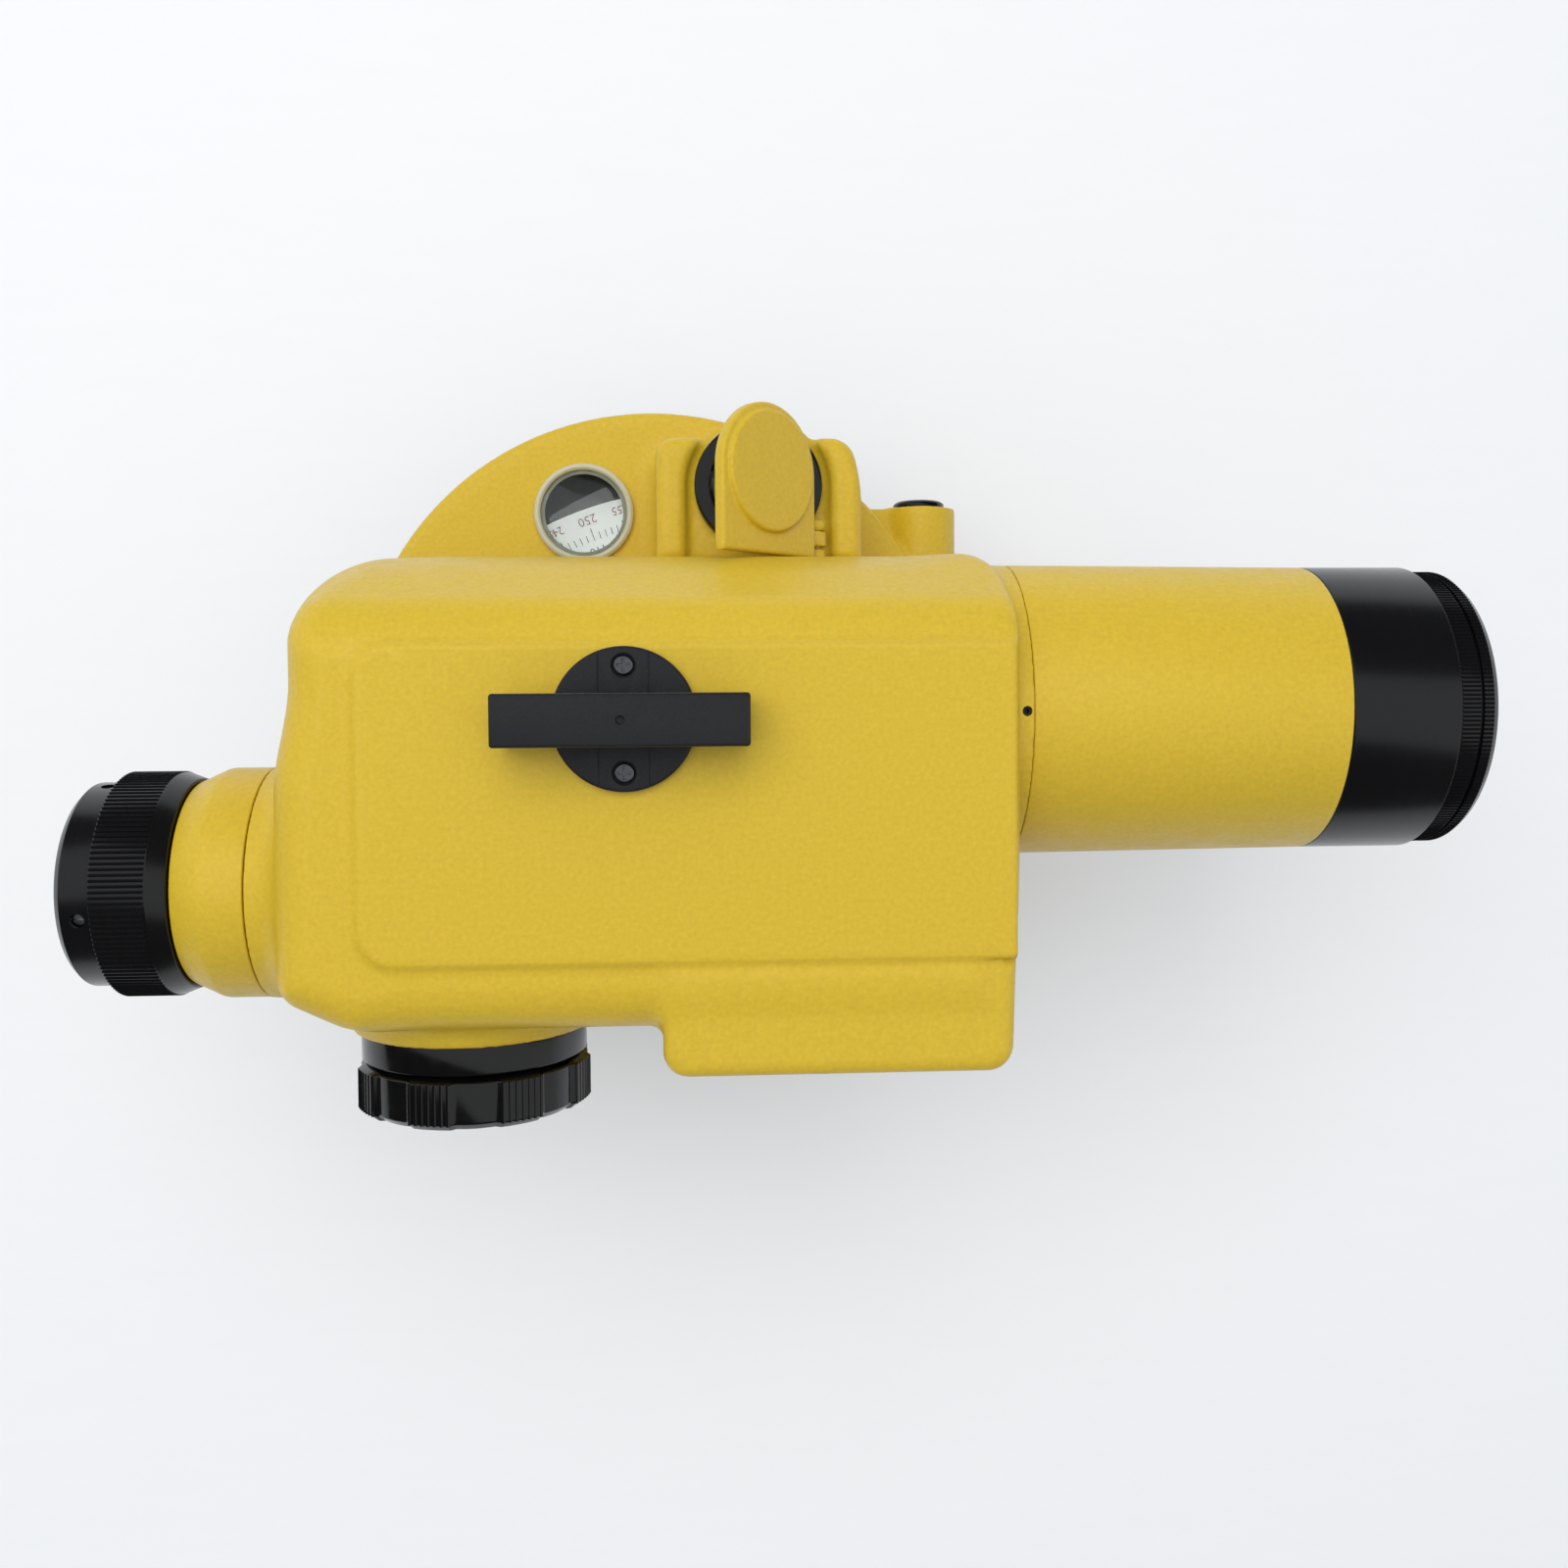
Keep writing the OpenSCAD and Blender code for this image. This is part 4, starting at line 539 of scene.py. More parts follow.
def cast(name, field, low, high, grid):
    """Skin where a field of signed distances is zero, one vertex in each crossed cell, moved onto it"""
    axes = [np.arange(a - 2 * grid, b + 3 * grid, grid) for a, b in zip(low, high)]
    value = field(*np.meshgrid(*axes, indexing="ij"))
    inside = value < 0
    corners = np.array([(i, j, k) for i in (0, 1) for j in (0, 1) for k in (0, 1)])
    shape = tuple(n - 1 for n in value.shape)
    count = sum(inside[i:i + shape[0], j:j + shape[1], k:k + shape[2]].astype(np.int8) for i, j, k in corners)
    cells = np.argwhere((count > 0) & (count < 8))
    number = np.full(shape, -1, np.int32)
    number[tuple(cells.T)] = np.arange(len(cells))
    total, hits = np.zeros((len(cells), 3)), np.zeros(len(cells))
    for a in corners:
        for d in range(3):
            if a[d]:
                continue
            b = a.copy()
            b[d] = 1
            va = value[tuple((cells + a).T)]
            vb = value[tuple((cells + b).T)]
            crossed = (va < 0) != (vb < 0)
            share = np.where(crossed, va / np.where(crossed, va - vb, 1), 0)
            total += crossed[:, None] * (a + share[:, None] * (b - a))
            hits += crossed
    origin = np.array([axis[0] for axis in axes])
    points = origin + grid * (cells + total / hits[:, None])
    nudge = 0.05
    for _ in range(2):
        here = field(*points.T)
        slope = np.stack([
            field(*(points + nudge * e).T) - field(*(points - nudge * e).T) for e in np.eye(3)], 1)
        slope /= 2 * nudge
        move = -here[:, None] * slope / np.maximum((slope ** 2).sum(1), 0.25)[:, None]
        points += np.clip(move, -0.4 * grid, 0.4 * grid)
    faces = []
    for d, u, v in ((0, 1, 2), (1, 2, 0), (2, 0, 1)):
        ahead = [slice(None)] * 3
        here = [slice(None)] * 3
        ahead[d], here[d] = slice(1, None), slice(None, -1)
        change = inside[tuple(here)] != inside[tuple(ahead)]
        at = np.argwhere(change)
        at = at[(at[:, u] > 0) & (at[:, v] > 0)]
        outwards = inside[tuple(at.T)]
        eu, ev = np.eye(3, dtype=int)[u], np.eye(3, dtype=int)[v]
        quad = np.stack([number[tuple((at - s).T)] for s in (eu + ev, ev, 0 * eu, eu)], 1)
        faces.append(np.where(outwards[:, None], quad, quad[:, ::-1]))
    return new_object(name, points.tolist(), np.concatenate(faces).tolist())


def thinned(piece, share):
    """Fewer faces where the skin is flat"""
    modifier = piece.modifiers.new("thin", "DECIMATE")
    modifier.ratio = share
    return applied(piece)


def begun(name, *inputs):
    """Node tree with a geometry in and out, its inputs given as name, kind and value, and its finish"""
    tree = bpy.data.node_groups.new(name, "GeometryNodeTree")
    tree.interface.new_socket(name="Geometry", in_out="INPUT", socket_type="NodeSocketGeometry")
    for label, kind, value in (*inputs, ("Finish", "Material", None)):
        made = tree.interface.new_socket(name=label, in_out="INPUT", socket_type="NodeSocket" + kind)
        if value is not None:
            made.default_value = value
    tree.interface.new_socket(name="Geometry", in_out="OUTPUT", socket_type="NodeSocketGeometry")
    return tree, add(tree, "NodeGroupInput").outputs


def ended(tree, geometry, given):
    """The tree with its copies made real and given their finish"""
    real = add(tree, "GeometryNodeRealizeInstances", None, {"Geometry": geometry})
    painted = add(tree, "GeometryNodeSetMaterial", None, {
        "Geometry": real.outputs[0], "Material": given["Finish"]})
    add(tree, "NodeGroupOutput", None, {0: painted.outputs[0]})
    return tree


def shifted(tree, geometry, **inputs):
    """Geometry moved or turned"""
    return add(tree, "GeometryNodeTransform", None, {"Geometry": geometry, **inputs}).outputs[0]


def turn_step(tree, count):
    """Angle of each copy when a number of them share a full turn"""
    step = arithmetic(tree, "DIVIDE", FULL_TURN, count)
    return arithmetic(tree, "MULTIPLY", add(tree, "GeometryNodeInputIndex").outputs[0], step)


def every(tree, value, period, comparison, limit):
    """Test on the remainder of a whole number"""
    rest = add(tree, "FunctionNodeIntegerMath", {"operation": "MODULO"}, {0: value, 1: period})
    return add(tree, "FunctionNodeCompare", {"data_type": "INT", "operation": comparison}, {
        2: rest.outputs[0], 3: limit}).outputs[0]


def rib_tree():
    """Ribs round an axis, in groups if wanted, added to the piece and made one mesh with it"""
    tree, given = begun(
        "Ribs round an axis", ("Count", "Int", 60), ("Group", "Int", 1), ("Kept", "Int", 1),
        ("Radius", "Float", MM), ("Length", "Float", MM), ("Width", "Float", MM), ("Middle", "Vector", None),
        ("Direction", "Vector", None), ("Phase", "Float", None))
    ring = add(tree, "GeometryNodeMeshCircle", None, {
        "Vertices": given["Count"], "Radius": given["Radius"]})
    rib = add(tree, "GeometryNodeMeshCylinder", None, {
        "Vertices": 6, "Radius": arithmetic(tree, "DIVIDE", given["Width"], 2.0), "Depth": given["Length"]})
    index = add(tree, "GeometryNodeInputIndex").outputs[0]
    copies = add(tree, "GeometryNodeInstanceOnPoints", None, {
        "Points": ring.outputs[0], "Instance": rib.outputs[0],
        "Selection": every(tree, index, given["Group"], "LESS_THAN", given["Kept"])})
    spin = add(tree, "ShaderNodeCombineXYZ", None, {"Z": given["Phase"]})
    phased = shifted(tree, copies.outputs[0], Rotation=spin.outputs[0])
    aimed = shifted(tree, phased, Rotation=given["Direction"], Translation=given["Middle"])
    both_parts = add(tree, "GeometryNodeJoinGeometry")
    tree.links.new(given["Geometry"], both_parts.inputs[0])
    tree.links.new(aimed, both_parts.inputs[0])
    return ended(tree, both_parts.outputs[0], given)


def ring_tree():
    """Copies of a piece turned round an axis through a centre"""
    tree, given = begun(
        "Copies round an axis", ("Count", "Int", 3), ("Centre", "Vector", None),
        ("Axis", "Vector", (0, 0, 1)))
    away = add(tree, "ShaderNodeVectorMath", {"operation": "SCALE"}, {0: given["Centre"], "Scale": -1.0})
    moved = shifted(tree, given["Geometry"], Translation=away.outputs[0])
    points = add(tree, "GeometryNodeMeshLine", None, {"Count": given["Count"], "Offset": (0, 0, 0)})
    turn = add(tree, "FunctionNodeAxisAngleToRotation", None, {
        "Axis": given["Axis"], "Angle": turn_step(tree, given["Count"])})
    copies = add(tree, "GeometryNodeInstanceOnPoints", None, {
        "Points": points.outputs[0], "Instance": moved, "Rotation": turn.outputs[0]})
    return ended(tree, shifted(tree, copies.outputs[0], Translation=given["Centre"]), given)


def mark_tree():
    """Graduation marks round the vertical axis, longer at every fifth and tenth"""
    lengths = [(name, "Float", MM) for name in (
        "Radius", "Short", "Middle", "Long", "Width", "Thickness", "Height")]
    tree, given = begun("Graduation marks", ("Count", "Int", 360), *lengths)
    ring = add(tree, "GeometryNodeMeshCircle", None, {
        "Vertices": given["Count"], "Radius": given["Radius"]})
    index = add(tree, "GeometryNodeInputIndex").outputs[0]
    length = given["Short"]
    for period, name in ((5, "Middle"), (10, "Long")):
        length = add(tree, "GeometryNodeSwitch", {"input_type": "FLOAT"}, {
            "Switch": every(tree, index, period, "EQUAL", 0), "False": length,
            "True": given[name]}).outputs[0]
    cube = add(tree, "GeometryNodeMeshCube", None, {"Size": (1, 1, 1)})
    turn = add(tree, "ShaderNodeCombineXYZ", None, {"Z": turn_step(tree, given["Count"])})
    size = add(tree, "ShaderNodeCombineXYZ", None, {
        "X": length, "Y": given["Width"], "Z": given["Thickness"]})
    copies = add(tree, "GeometryNodeInstanceOnPoints", None, {
        "Points": ring.outputs[0], "Instance": shifted(tree, cube.outputs[0], Translation=(0.5, 0, 0)),
        "Rotation": turn.outputs[0], "Scale": size.outputs[0]})
    lift = add(tree, "ShaderNodeCombineXYZ", None, {"Z": given["Height"]})
    return ended(tree, shifted(tree, copies.outputs[0], Translation=lift.outputs[0]), given)


TREES = {"ribs": rib_tree, "copies": ring_tree, "marks": mark_tree}
_trees = {}
# Turns that bring the vertical axis of a tree onto X, Y or Z
DIRECTIONS = {"X": (0, math.pi / 2, 0), "Y": (-math.pi / 2, 0, 0), "Z": (0, 0, 0)}


def grown(piece, key, **values):
    """The piece after one of the node trees, as a plain mesh"""
    if key not in _trees:
        _trees[key] = TREES[key]()
    modifier = piece.modifiers.new(key, "NODES")
    modifier.node_group = _trees[key]
    for item in _trees[key].interface.items_tree:
        if item.in_out == "INPUT" and item.name in values:
            modifier[item.identifier] = values[item.name]
    return applied(piece)


def ribbed(piece, axis, centre, start, end, radius, count, width, finish_key, rise, group=1, kept=1,
           phase=0.0):
    """Straight ribs on a band of a turned piece; rise is how far they stand proud"""
    middle = list(centre)
    middle["XYZ".index(axis)] = (start + end) / 2
    return grown(
        piece, "ribs", Count=count, Group=group, Kept=kept, Radius=(radius + rise - width / 2) * MM,
        Length=abs(end - start) * MM, Width=width * MM, Middle=[c * MM for c in middle],
        Direction=DIRECTIONS[axis], Phase=phase, Finish=finish(finish_key))


def front_wall(x, y):
    """Field of the front wall, which leans back to the right of the telescope"""
    return x - BODY_FRONT + FRONT_LEAN * np.maximum(-24 - y, 0)


def body_core(x, y, z):
    """Field of the telescope housing without its bosses"""
    flare = step_up(-y, -6, 14) * (0.4 + 0.04 * (z - FLOOR_Z))
    rear = -(x + BODY_REAR + flare - REAR_LEAN * (z - FLOOR_Z)) / 1.0018
    front = front_wall(x, y)
    left, right = y - BODY_LEFT, -BODY_RIGHT - y
    corner_cut = -0.4246 * (x + 50.5) - 0.9054 * (y + BODY_RIGHT)
    walls = np.maximum(both(rear, left, 13), both(both(right, corner_cut, 2), rear, 3.5))
    walls = np.maximum(walls, both(front, left, 6))
    walls = np.maximum(walls, both(front, right, 2.5))
    slope = SLOPE_NORMAL[0] * (y - SLOPE_Y) + SLOPE_NORMAL[1] * (z - ROOF_Z)
    top = both(z - ROOF_Z, slope, 7)
    edge = 5 + 4.5 * step_up(-y, 30, 48)
    edge = edge + (7.5 - edge) * step_up(-x, 38, 56)
    edge = edge + (2.2 - edge) * step_up(x, 48, 62) * step_up(y, -46, -34)
    return both(walls, top, edge)


def bulge_core(x, y, z):
    """Field of the bulge on the right"""
    out = -BULGE_OUT - y
    walls = np.maximum(both(BULGE_REAR - x, out, 4.5), both(front_wall(x, y), out, 4.5))
    return both(np.maximum(walls, y + BULGE_START), z - ROOF_Z + 0.15, 2.6)


def housing_field(x, y, z):
    """Field of the telescope housing"""
    fillet = bpy.context.scene.level_sizes.boss_fillet / MM
    shape = either(body_core(x, y, z), bulge_core(x, y, z), 2.5)
    eye = both(np.hypot(y - EYE_Y, z - AXIS_Z) - EYE_BOSS_R, np.maximum(EYE_JOINT - x, x + 40), 0.35)
    shape = either(shape, eye, fillet)
    focus_r = FOCUS_BOSS_R + 0.395 * np.clip(y - FOCUS_FACE, 0, 10.8)
    focus = both(np.hypot(x - FOCUS_X, z - FOCUS_Z) - focus_r, np.maximum(FOCUS_FACE - y, y + 40), 0.4)
    shape = either(shape, focus, 2.5)
    collar = both(np.hypot(y, z - AXIS_Z) - TUBE_ROOT_R, np.maximum(x - TUBE_START, 50 - x), 0.3)
    shape = either(shape, collar, 1.2)
    rear_edge = np.maximum(both(-48.8 - x, y - 12.5, 6.5), both(-48.8 - x, -43.5 - y, 6.5))
    panel = both(np.maximum(rear_edge, x - BODY_FRONT + 0.9), np.maximum(z - PANEL_Z, 130 - z), 0.8)
    shape = either(shape, panel, 0.9)
    return both(shape, FLOOR_Z - z, 0.4)


def cavity_field(x, y, z):
    """Field of the housing's hollow"""
    wall = 3.0 - 1.3 * step_up(-x, 40, 46) * step_up(-y, 38, 44)
    hollow = np.minimum(body_core(x, y, z), bulge_core(x, y, z) + 0.4) + wall
    return np.maximum(hollow, 60 - z)


def make_housing():
    """Telescope housing: a casting with filleted bosses and a soft raised panel"""
    grid = bpy.context.scene.level_sizes.casting_grid / MM
    skin = cast("housing_skin", housing_field, (-72, -64, 71), (71, 31, 140), grid)
    thinned(skin, 0.45)
    cavity = cast("cavity", cavity_field, (-66, -64, 60), (66, 31, 138), 3.0)
    front = (0, 0, AXIS_Z)
    eye = (0, EYE_Y, AXIS_Z)
    cut(skin, cavity,
        rod("bore", "X", front, 60.1, 72, SPIGOT_R),
        rod("bore", "X", eye, -74, -57, 17.0),
        rod("bore", "Y", (FOCUS_X, 0, FOCUS_Z), -63, -51, 3.2, 48),
        rod("joint", "X", front, TUBE_START - 0.12, 74, 33),
        rod("joint", "X", eye, -74, EYE_JOINT + 0.4, 27),
        rod("joint", "Y", (FOCUS_X, 0, FOCUS_Z), -63, FOCUS_FACE + 0.05, 27),
        rod("bore", "Z", (LOCK_X, 0, 0), AXIS_Z + 24.4, AXIS_Z + 29.5, 0.92, 32),
        *[rod("bore", "Z", (SIGHT_X, SIGHT_Y + y, 0), 136.5, 141, 1.17, 24)
          for y in (-SIGHT_SCREW, SIGHT_SCREW)],
        solver="MANIFOLD")
    return placed(skin, "enamel", "alidade", ["main_housing"], 50)


def make_cover():
    """Bottom cover of the housing"""
    low = 68.0
    cover = bevelled(prism("cover_plate", softened([
        (-64, 29.6, 12), (65.9, 29.6, 3), (65.9, -24, 0), (64.9, -55.2, 2), (-50, -55.2, 8),
        (-64, -48.8, 4)]), low, FLOOR_Z), 0.4, 2)
    plate = bar("plate", (9.5, -62.4, low), (60.9, -54, FLOOR_Z))
    for x, y in ((-57, 24.6), (60, 24.6), (-55, -49), (60, -51)):
        cut(cover, rod("hole", "Z", (x, y, 0), low - 1, FLOOR_Z + 1, 1.52, 24),
            rod("hole", "Z", (x, y, 0), low - 1, low + 1.7, 2.82, 32))
    return placed(joined(cover, plate), "enamel", "alidade", ["bottom_cover"])


def base_field(x, y, z):
    """Field of the round base housing, its pedestal, vial block and tangent boss"""
    around = np.hypot(x, y)
    shape = both(around - DISC_R, np.maximum(z - DISC_TOP, DISC_RIM - z), 1.6)
    pedestal = both(around - PEDESTAL_R, np.maximum(z - 68, 50 - z), 0.3)
    shape = either(shape, pedestal, 3)
    front = both(x - 44.6, 0.951 * (x - 44.6) + 0.309 * (y - 49.2), 1.5)
    plan = np.maximum(np.maximum(both(1.2 - x, y - 57.3, 4), both(front, y - 57.3, 3.5)), 31.0 - y)
    post = both(plan, np.maximum(z - BLOCK_TOP, 50 - z), 2.6)
    saddle = np.hypot(x - VIAL.x, np.maximum(y - VIAL.y, 0)) - SADDLE_R
    post = both(post, -both(saddle, SADDLE_TOP - z, 1.6), 2.2)
    cup = both(np.hypot(x - VIAL.x, y - VIAL.y) - SADDLE_R, np.maximum(z - SADDLE_TOP, 50 - z), 0.5)
    post = either(post, cup, 0.8)
    lug_y = np.minimum(np.abs(y - 32.3) - 1.3, np.abs(y - 38.2) - 1.0)
    lug = both(np.hypot(x - HINGE.x, z - HINGE.z) - 1.9, lug_y, 0.3)
    web = both(np.maximum(np.abs(x - HINGE.x) - 1.9, np.maximum(80 - z, z - HINGE.z)), lug_y, 0.3)
    shape = either(shape, either(post, either(lug, web, 0.3), 0.8), 4.2)
    boss = both(np.hypot(x - TANGENT.x, z - TANGENT.z) - TANGENT_BOSS_R,
                np.maximum(y - TANGENT_REACH, -TANGENT_BACK - y), 0.5)
    ahead = np.maximum(np.maximum(y - TANGENT_REACH + 0.2, 66.4 - 0.829 * x - 0.559 * y), x - TANGENT.x)
    web = both(ahead, np.maximum(42.5 - z, z - 55), 1.0)
    boss = either(boss, web, 1.0)
    return either(shape, boss, 1.5)


def make_base():
    """Base housing: round casting, hollow below, with the vial's block"""
    grid = bpy.context.scene.level_sizes.casting_grid / MM
    skin = cast("base_skin", base_field, (-68, -68, 41), (71, 68, 93), grid)
    thinned(skin, 0.5)
    middle = (0, 0, 0)
    hollow = turned("hollow", "Z", middle, [
        (40, 0), (40, 64), (58.8, 64), (58.8, 14), (54.3, 14), (54.3, 8.05), (63, 8.05), (64, 12), (70, 12),
        (70, 0)])
    drive = (TANGENT.x, 0, TANGENT.z)
    window = bar("window", (46, -10.4, 46), (67, 10.4, 55))
    loupe = rod("bore", "Z", (LOUPE.x, LOUPE.y, 0), 57, 64, LOUPE_BORE_R)
    cut(skin, hollow, rod("bore", "Y", drive, -49, 49, 6.0, 64), window, loupe,
        rod("pocket", "Z", (VIAL.x, VIAL.y, 0), POCKET_FLOOR, 92, 13.42),
        rod("bore", "Y", (HINGE.x, 0, HINGE.z), 30, 41, 0.82, 24), solver="MANIFOLD")
    return placed(skin, "enamel", "alidade", ["base_housing"], 50)


def make_tube():
    """Objective tube, painted, with a spigot at each end"""
    tube = turned("tube_skin", "X", (0, 0, AXIS_Z), [
        (60.4, TUBE_BORE_R), (60.4, SPIGOT_FIT_R, 0.4), (TUBE_START, SPIGOT_FIT_R),
        (TUBE_START, TUBE_ROOT_R, 0.35), (TUBE_FRONT, TUBE_R, 0.3), (TUBE_FRONT, SPIGOT_R), (119.4, SPIGOT_R),
        (119.4, TUBE_BORE_R)], 192)
    return placed(tube, "enamel", "alidade", ["objective_tube"])


def make_lock_screw():
    """Set screw with a hexagon socket on the front collar"""
    centre = (LOCK_X, 0, 0)
    screw = turned("lock_screw", "Z", centre, [(130.4, 0), (130.4, 0.9), (133.0, 0.9, 0.15), (133.0, 0)], 32)
    hexagon = [(LOCK_X + 0.5 * math.cos(k * math.pi / 3), 0.5 * math.sin(k * math.pi / 3)) for k in range(6)]
    cut(screw, prism("socket", hexagon, 132.0, 134))
    return placed(screw, "moulded", "alidade", ["tube_lock_screw"])


def make_objective():
    """Black objective ring, ribbed front ring and coated front lens"""
    centre = (0, 0, AXIS_Z)
    ring = turned("lens_ring", "X", centre, [
        (119.7, LENS_SEAT_R), (119.7, SPIGOT_FIT_R, 0.3), (TUBE_FRONT, SPIGOT_FIT_R),
        (TUBE_FRONT, TUBE_R, 0.35), (RING_FRONT - 0.7, TUBE_R, 0.2), (RING_FRONT, 27.3, 0.15),
        (RING_FRONT, LENS_SEAT_R), (LENS_LOW, LENS_SEAT_R), (LENS_LOW, 21.0), (133.4, 21.0),
        (133.4, LENS_SEAT_R)], 192)
    placed(ring, "anodised_x", "alidade", ["objective_ring"])
    front = turned("front_ring", "X", centre, [
        (LENS_TOP, 21.0), (LENS_TOP, 22.48), (RING_FRONT, 22.48), (RING_FRONT, FRONT_RING_R, 0.1),
        (153.7, FRONT_RING_R), (153.8, 26.4), (154.3, 26.4), (154.4, FRONT_RING_R),
        (156.2, FRONT_RING_R, 0.15), (MOUTH_FRONT, 26.0, 0.2), (MOUTH_FRONT, 23.9, 0.2), (148.2, 21.0)], 192)
    count = bpy.context.scene.level_sizes.front_ribs
    for start, end in ((150.3, 153.65), (154.45, 156.15)):
        ribbed(front, "X", centre, start, end, FRONT_RING_R, count, 0.46, "anodised_x", 0.2)
    placed(front, "anodised_x", "alidade", ["objective_front_ring"])
    face = dome(LENS_TOP, 2.0, LENS_DOME_R)
    back = dome(LENS_LOW, -2.0, LENS_DOME_R)[::-1]
    lens = turned("front_lens", "X", centre, face + [(LENS_TOP, 22.5), (LENS_LOW, 22.5)] + back, 96)
    placed(lens, "coated", "alidade", ["objective_lens"])


def make_eyepiece():
    """Painted barrel, ribbed diopter ring with its set screws, and the eye lens"""
    centre = (0, EYE_Y, AXIS_Z)
    barrel = turned("barrel_skin", "X", centre, [
        (-96.4, 11.95), (-96.4, 14.0, 0.3), (BARREL_END, 14.0), (BARREL_END, 19.5, 0.4),
        (-79.8, BARREL_R, 3.0), (EYE_JOINT, BARREL_R, 0.35), (EYE_JOINT, 16.98), (-61.6, 16.98, 0.3),
        (-61.6, 11.95)], 192)
    placed(barrel, "enamel", "alidade", ["eyepiece_barrel"])
    ring = turned("diopter_knurl", "X", centre, [
        (-85.7, 14.05), (-85.7, 20.1, 0.4), (-88.9, DIOPTER_R, 0.5), (-98.9, DIOPTER_R, 0.35),
        (-98.9, DIOPTER_NECK_R, 0.2), (-104.7, DIOPTER_NECK_R, 0.4), (DIOPTER_END, 18.1, 0.5),
        (DIOPTER_END, 12.5, 0.6), (-102.7, 8.5, 0.5), (-98.9, 8.5), (-98.9, 14.05)], 192)
    home = Matrix.Translation((0, EYE_Y * MM, AXIS_Z * MM))
    place = (SET_SCREW_X, 0, 0)
    sockets = []
    for k in range(SET_SCREWS):
        hole = rod("hole", "Z", place, SET_SCREW_LOW, 21, 1.32, 24)
        hole.data.transform(home @ Matrix.Rotation(SET_SCREW_TURN + FULL_TURN * k / SET_SCREWS, 4, "X"))
        sockets.append(hole)
    cut(ring, *sockets)
    count = bpy.context.scene.level_sizes.diopter_ribs
    ribbed(ring, "X", centre, -89.2, -98.7, DIOPTER_R, count, 0.62, "anodised_x", 0.24)
    placed(ring, "anodised_x", "diopter", ["diopter_ring"])
    screw = turned("diopter_set_screws", "Z", place, [
        (SET_SCREW_LOW, 0), (SET_SCREW_LOW, 1.2), (18.6, 1.2, 0.2), (18.6, 0)], 24)
    cut(screw, bar("slot", (-104, -0.22, 18.0), (-99, 0.22, 20)))
    screw.data.transform(home @ Matrix.Rotation(SET_SCREW_TURN, 4, "X"))
    grown(screw, "copies", Count=SET_SCREWS, Centre=[0, EYE_Y * MM, AXIS_Z * MM], Axis=[1, 0, 0],
          Finish=finish("steel"))
    placed(screw, "steel", "diopter", ["diopter_screws"])
    rear = -96.0
    face = dome(rear + 4, -1.2, 10.68)
    lens = turned("eye_lens", "X", centre, face + [(rear + 11, 10.68), (rear + 11, 0)], 64)
    placed(lens, "glass", "eye_cell", ["eyepiece_lens"])


def lobe_wave(station, radius, angle):
    """Radius of the focusing knob: raised gripping pads between shallow smooth ones"""
    if radius < 0.8 * KNOB_R:
        return radius
    pitch = FULL_TURN / LOBES
    off = (angle + LOBE_TURN + pitch / 2) % pitch - pitch / 2
    width = math.radians(22.5) / 2
    edge = math.radians(1.6)
    rise = min(1.0, max(0.0, (width + edge - abs(off)) / (2 * edge)))
    rise = rise * rise * (3 - 2 * rise)
    return radius - (1 - rise) * (0.9 - 0.25 * math.cos((abs(off) - pitch / 2) / (pitch / 4) * math.pi / 2))


def make_focus():
    """Polished collar and the eight-lobed focusing knob"""
    centre = (FOCUS_X, 0, FOCUS_Z)
    collar = turned("focus_collar_skin", "Y", centre, [
        (-66.3, 2.25), (-66.3, COLLAR_R, 0.4), (FOCUS_FACE, COLLAR_R, 0.3), (FOCUS_FACE, 2.25)], 192)
    placed(collar, "polished", "alidade", ["focus_collar"])
    knob = turned("focus_knob_skin", "Y", centre, [
        (SHAFT_END, 2.22), (KNOB_START, 2.22), (KNOB_START, 20.9, 0.2), (-67.5, KNOB_R, 0.4),
        (KNOB_END + 1.3, KNOB_R, 0.6), (KNOB_END, 21.0, 0.5), (KNOB_END, 17.6, 0.4),
        (KNOB_END + 0.8, 17.1, 0.3), (KNOB_END + 0.8, 0), (SHAFT_END, 0)], 480, lobe_wave)
    ribs = bpy.context.scene.level_sizes.lobe_ribs
    per_lobe = 2 * ribs
    pitch = FULL_TURN / LOBES
    ribbed(knob, "Y", centre, -67.6, KNOB_END + 1.1, KNOB_R, LOBES * per_lobe, 0.8, "polished", 0.2,
           per_lobe, ribs, pitch / per_lobe / 2 - LOBE_TURN - pitch / 4)
    placed(knob, "polished", "focus_drive", ["focus_knob"])


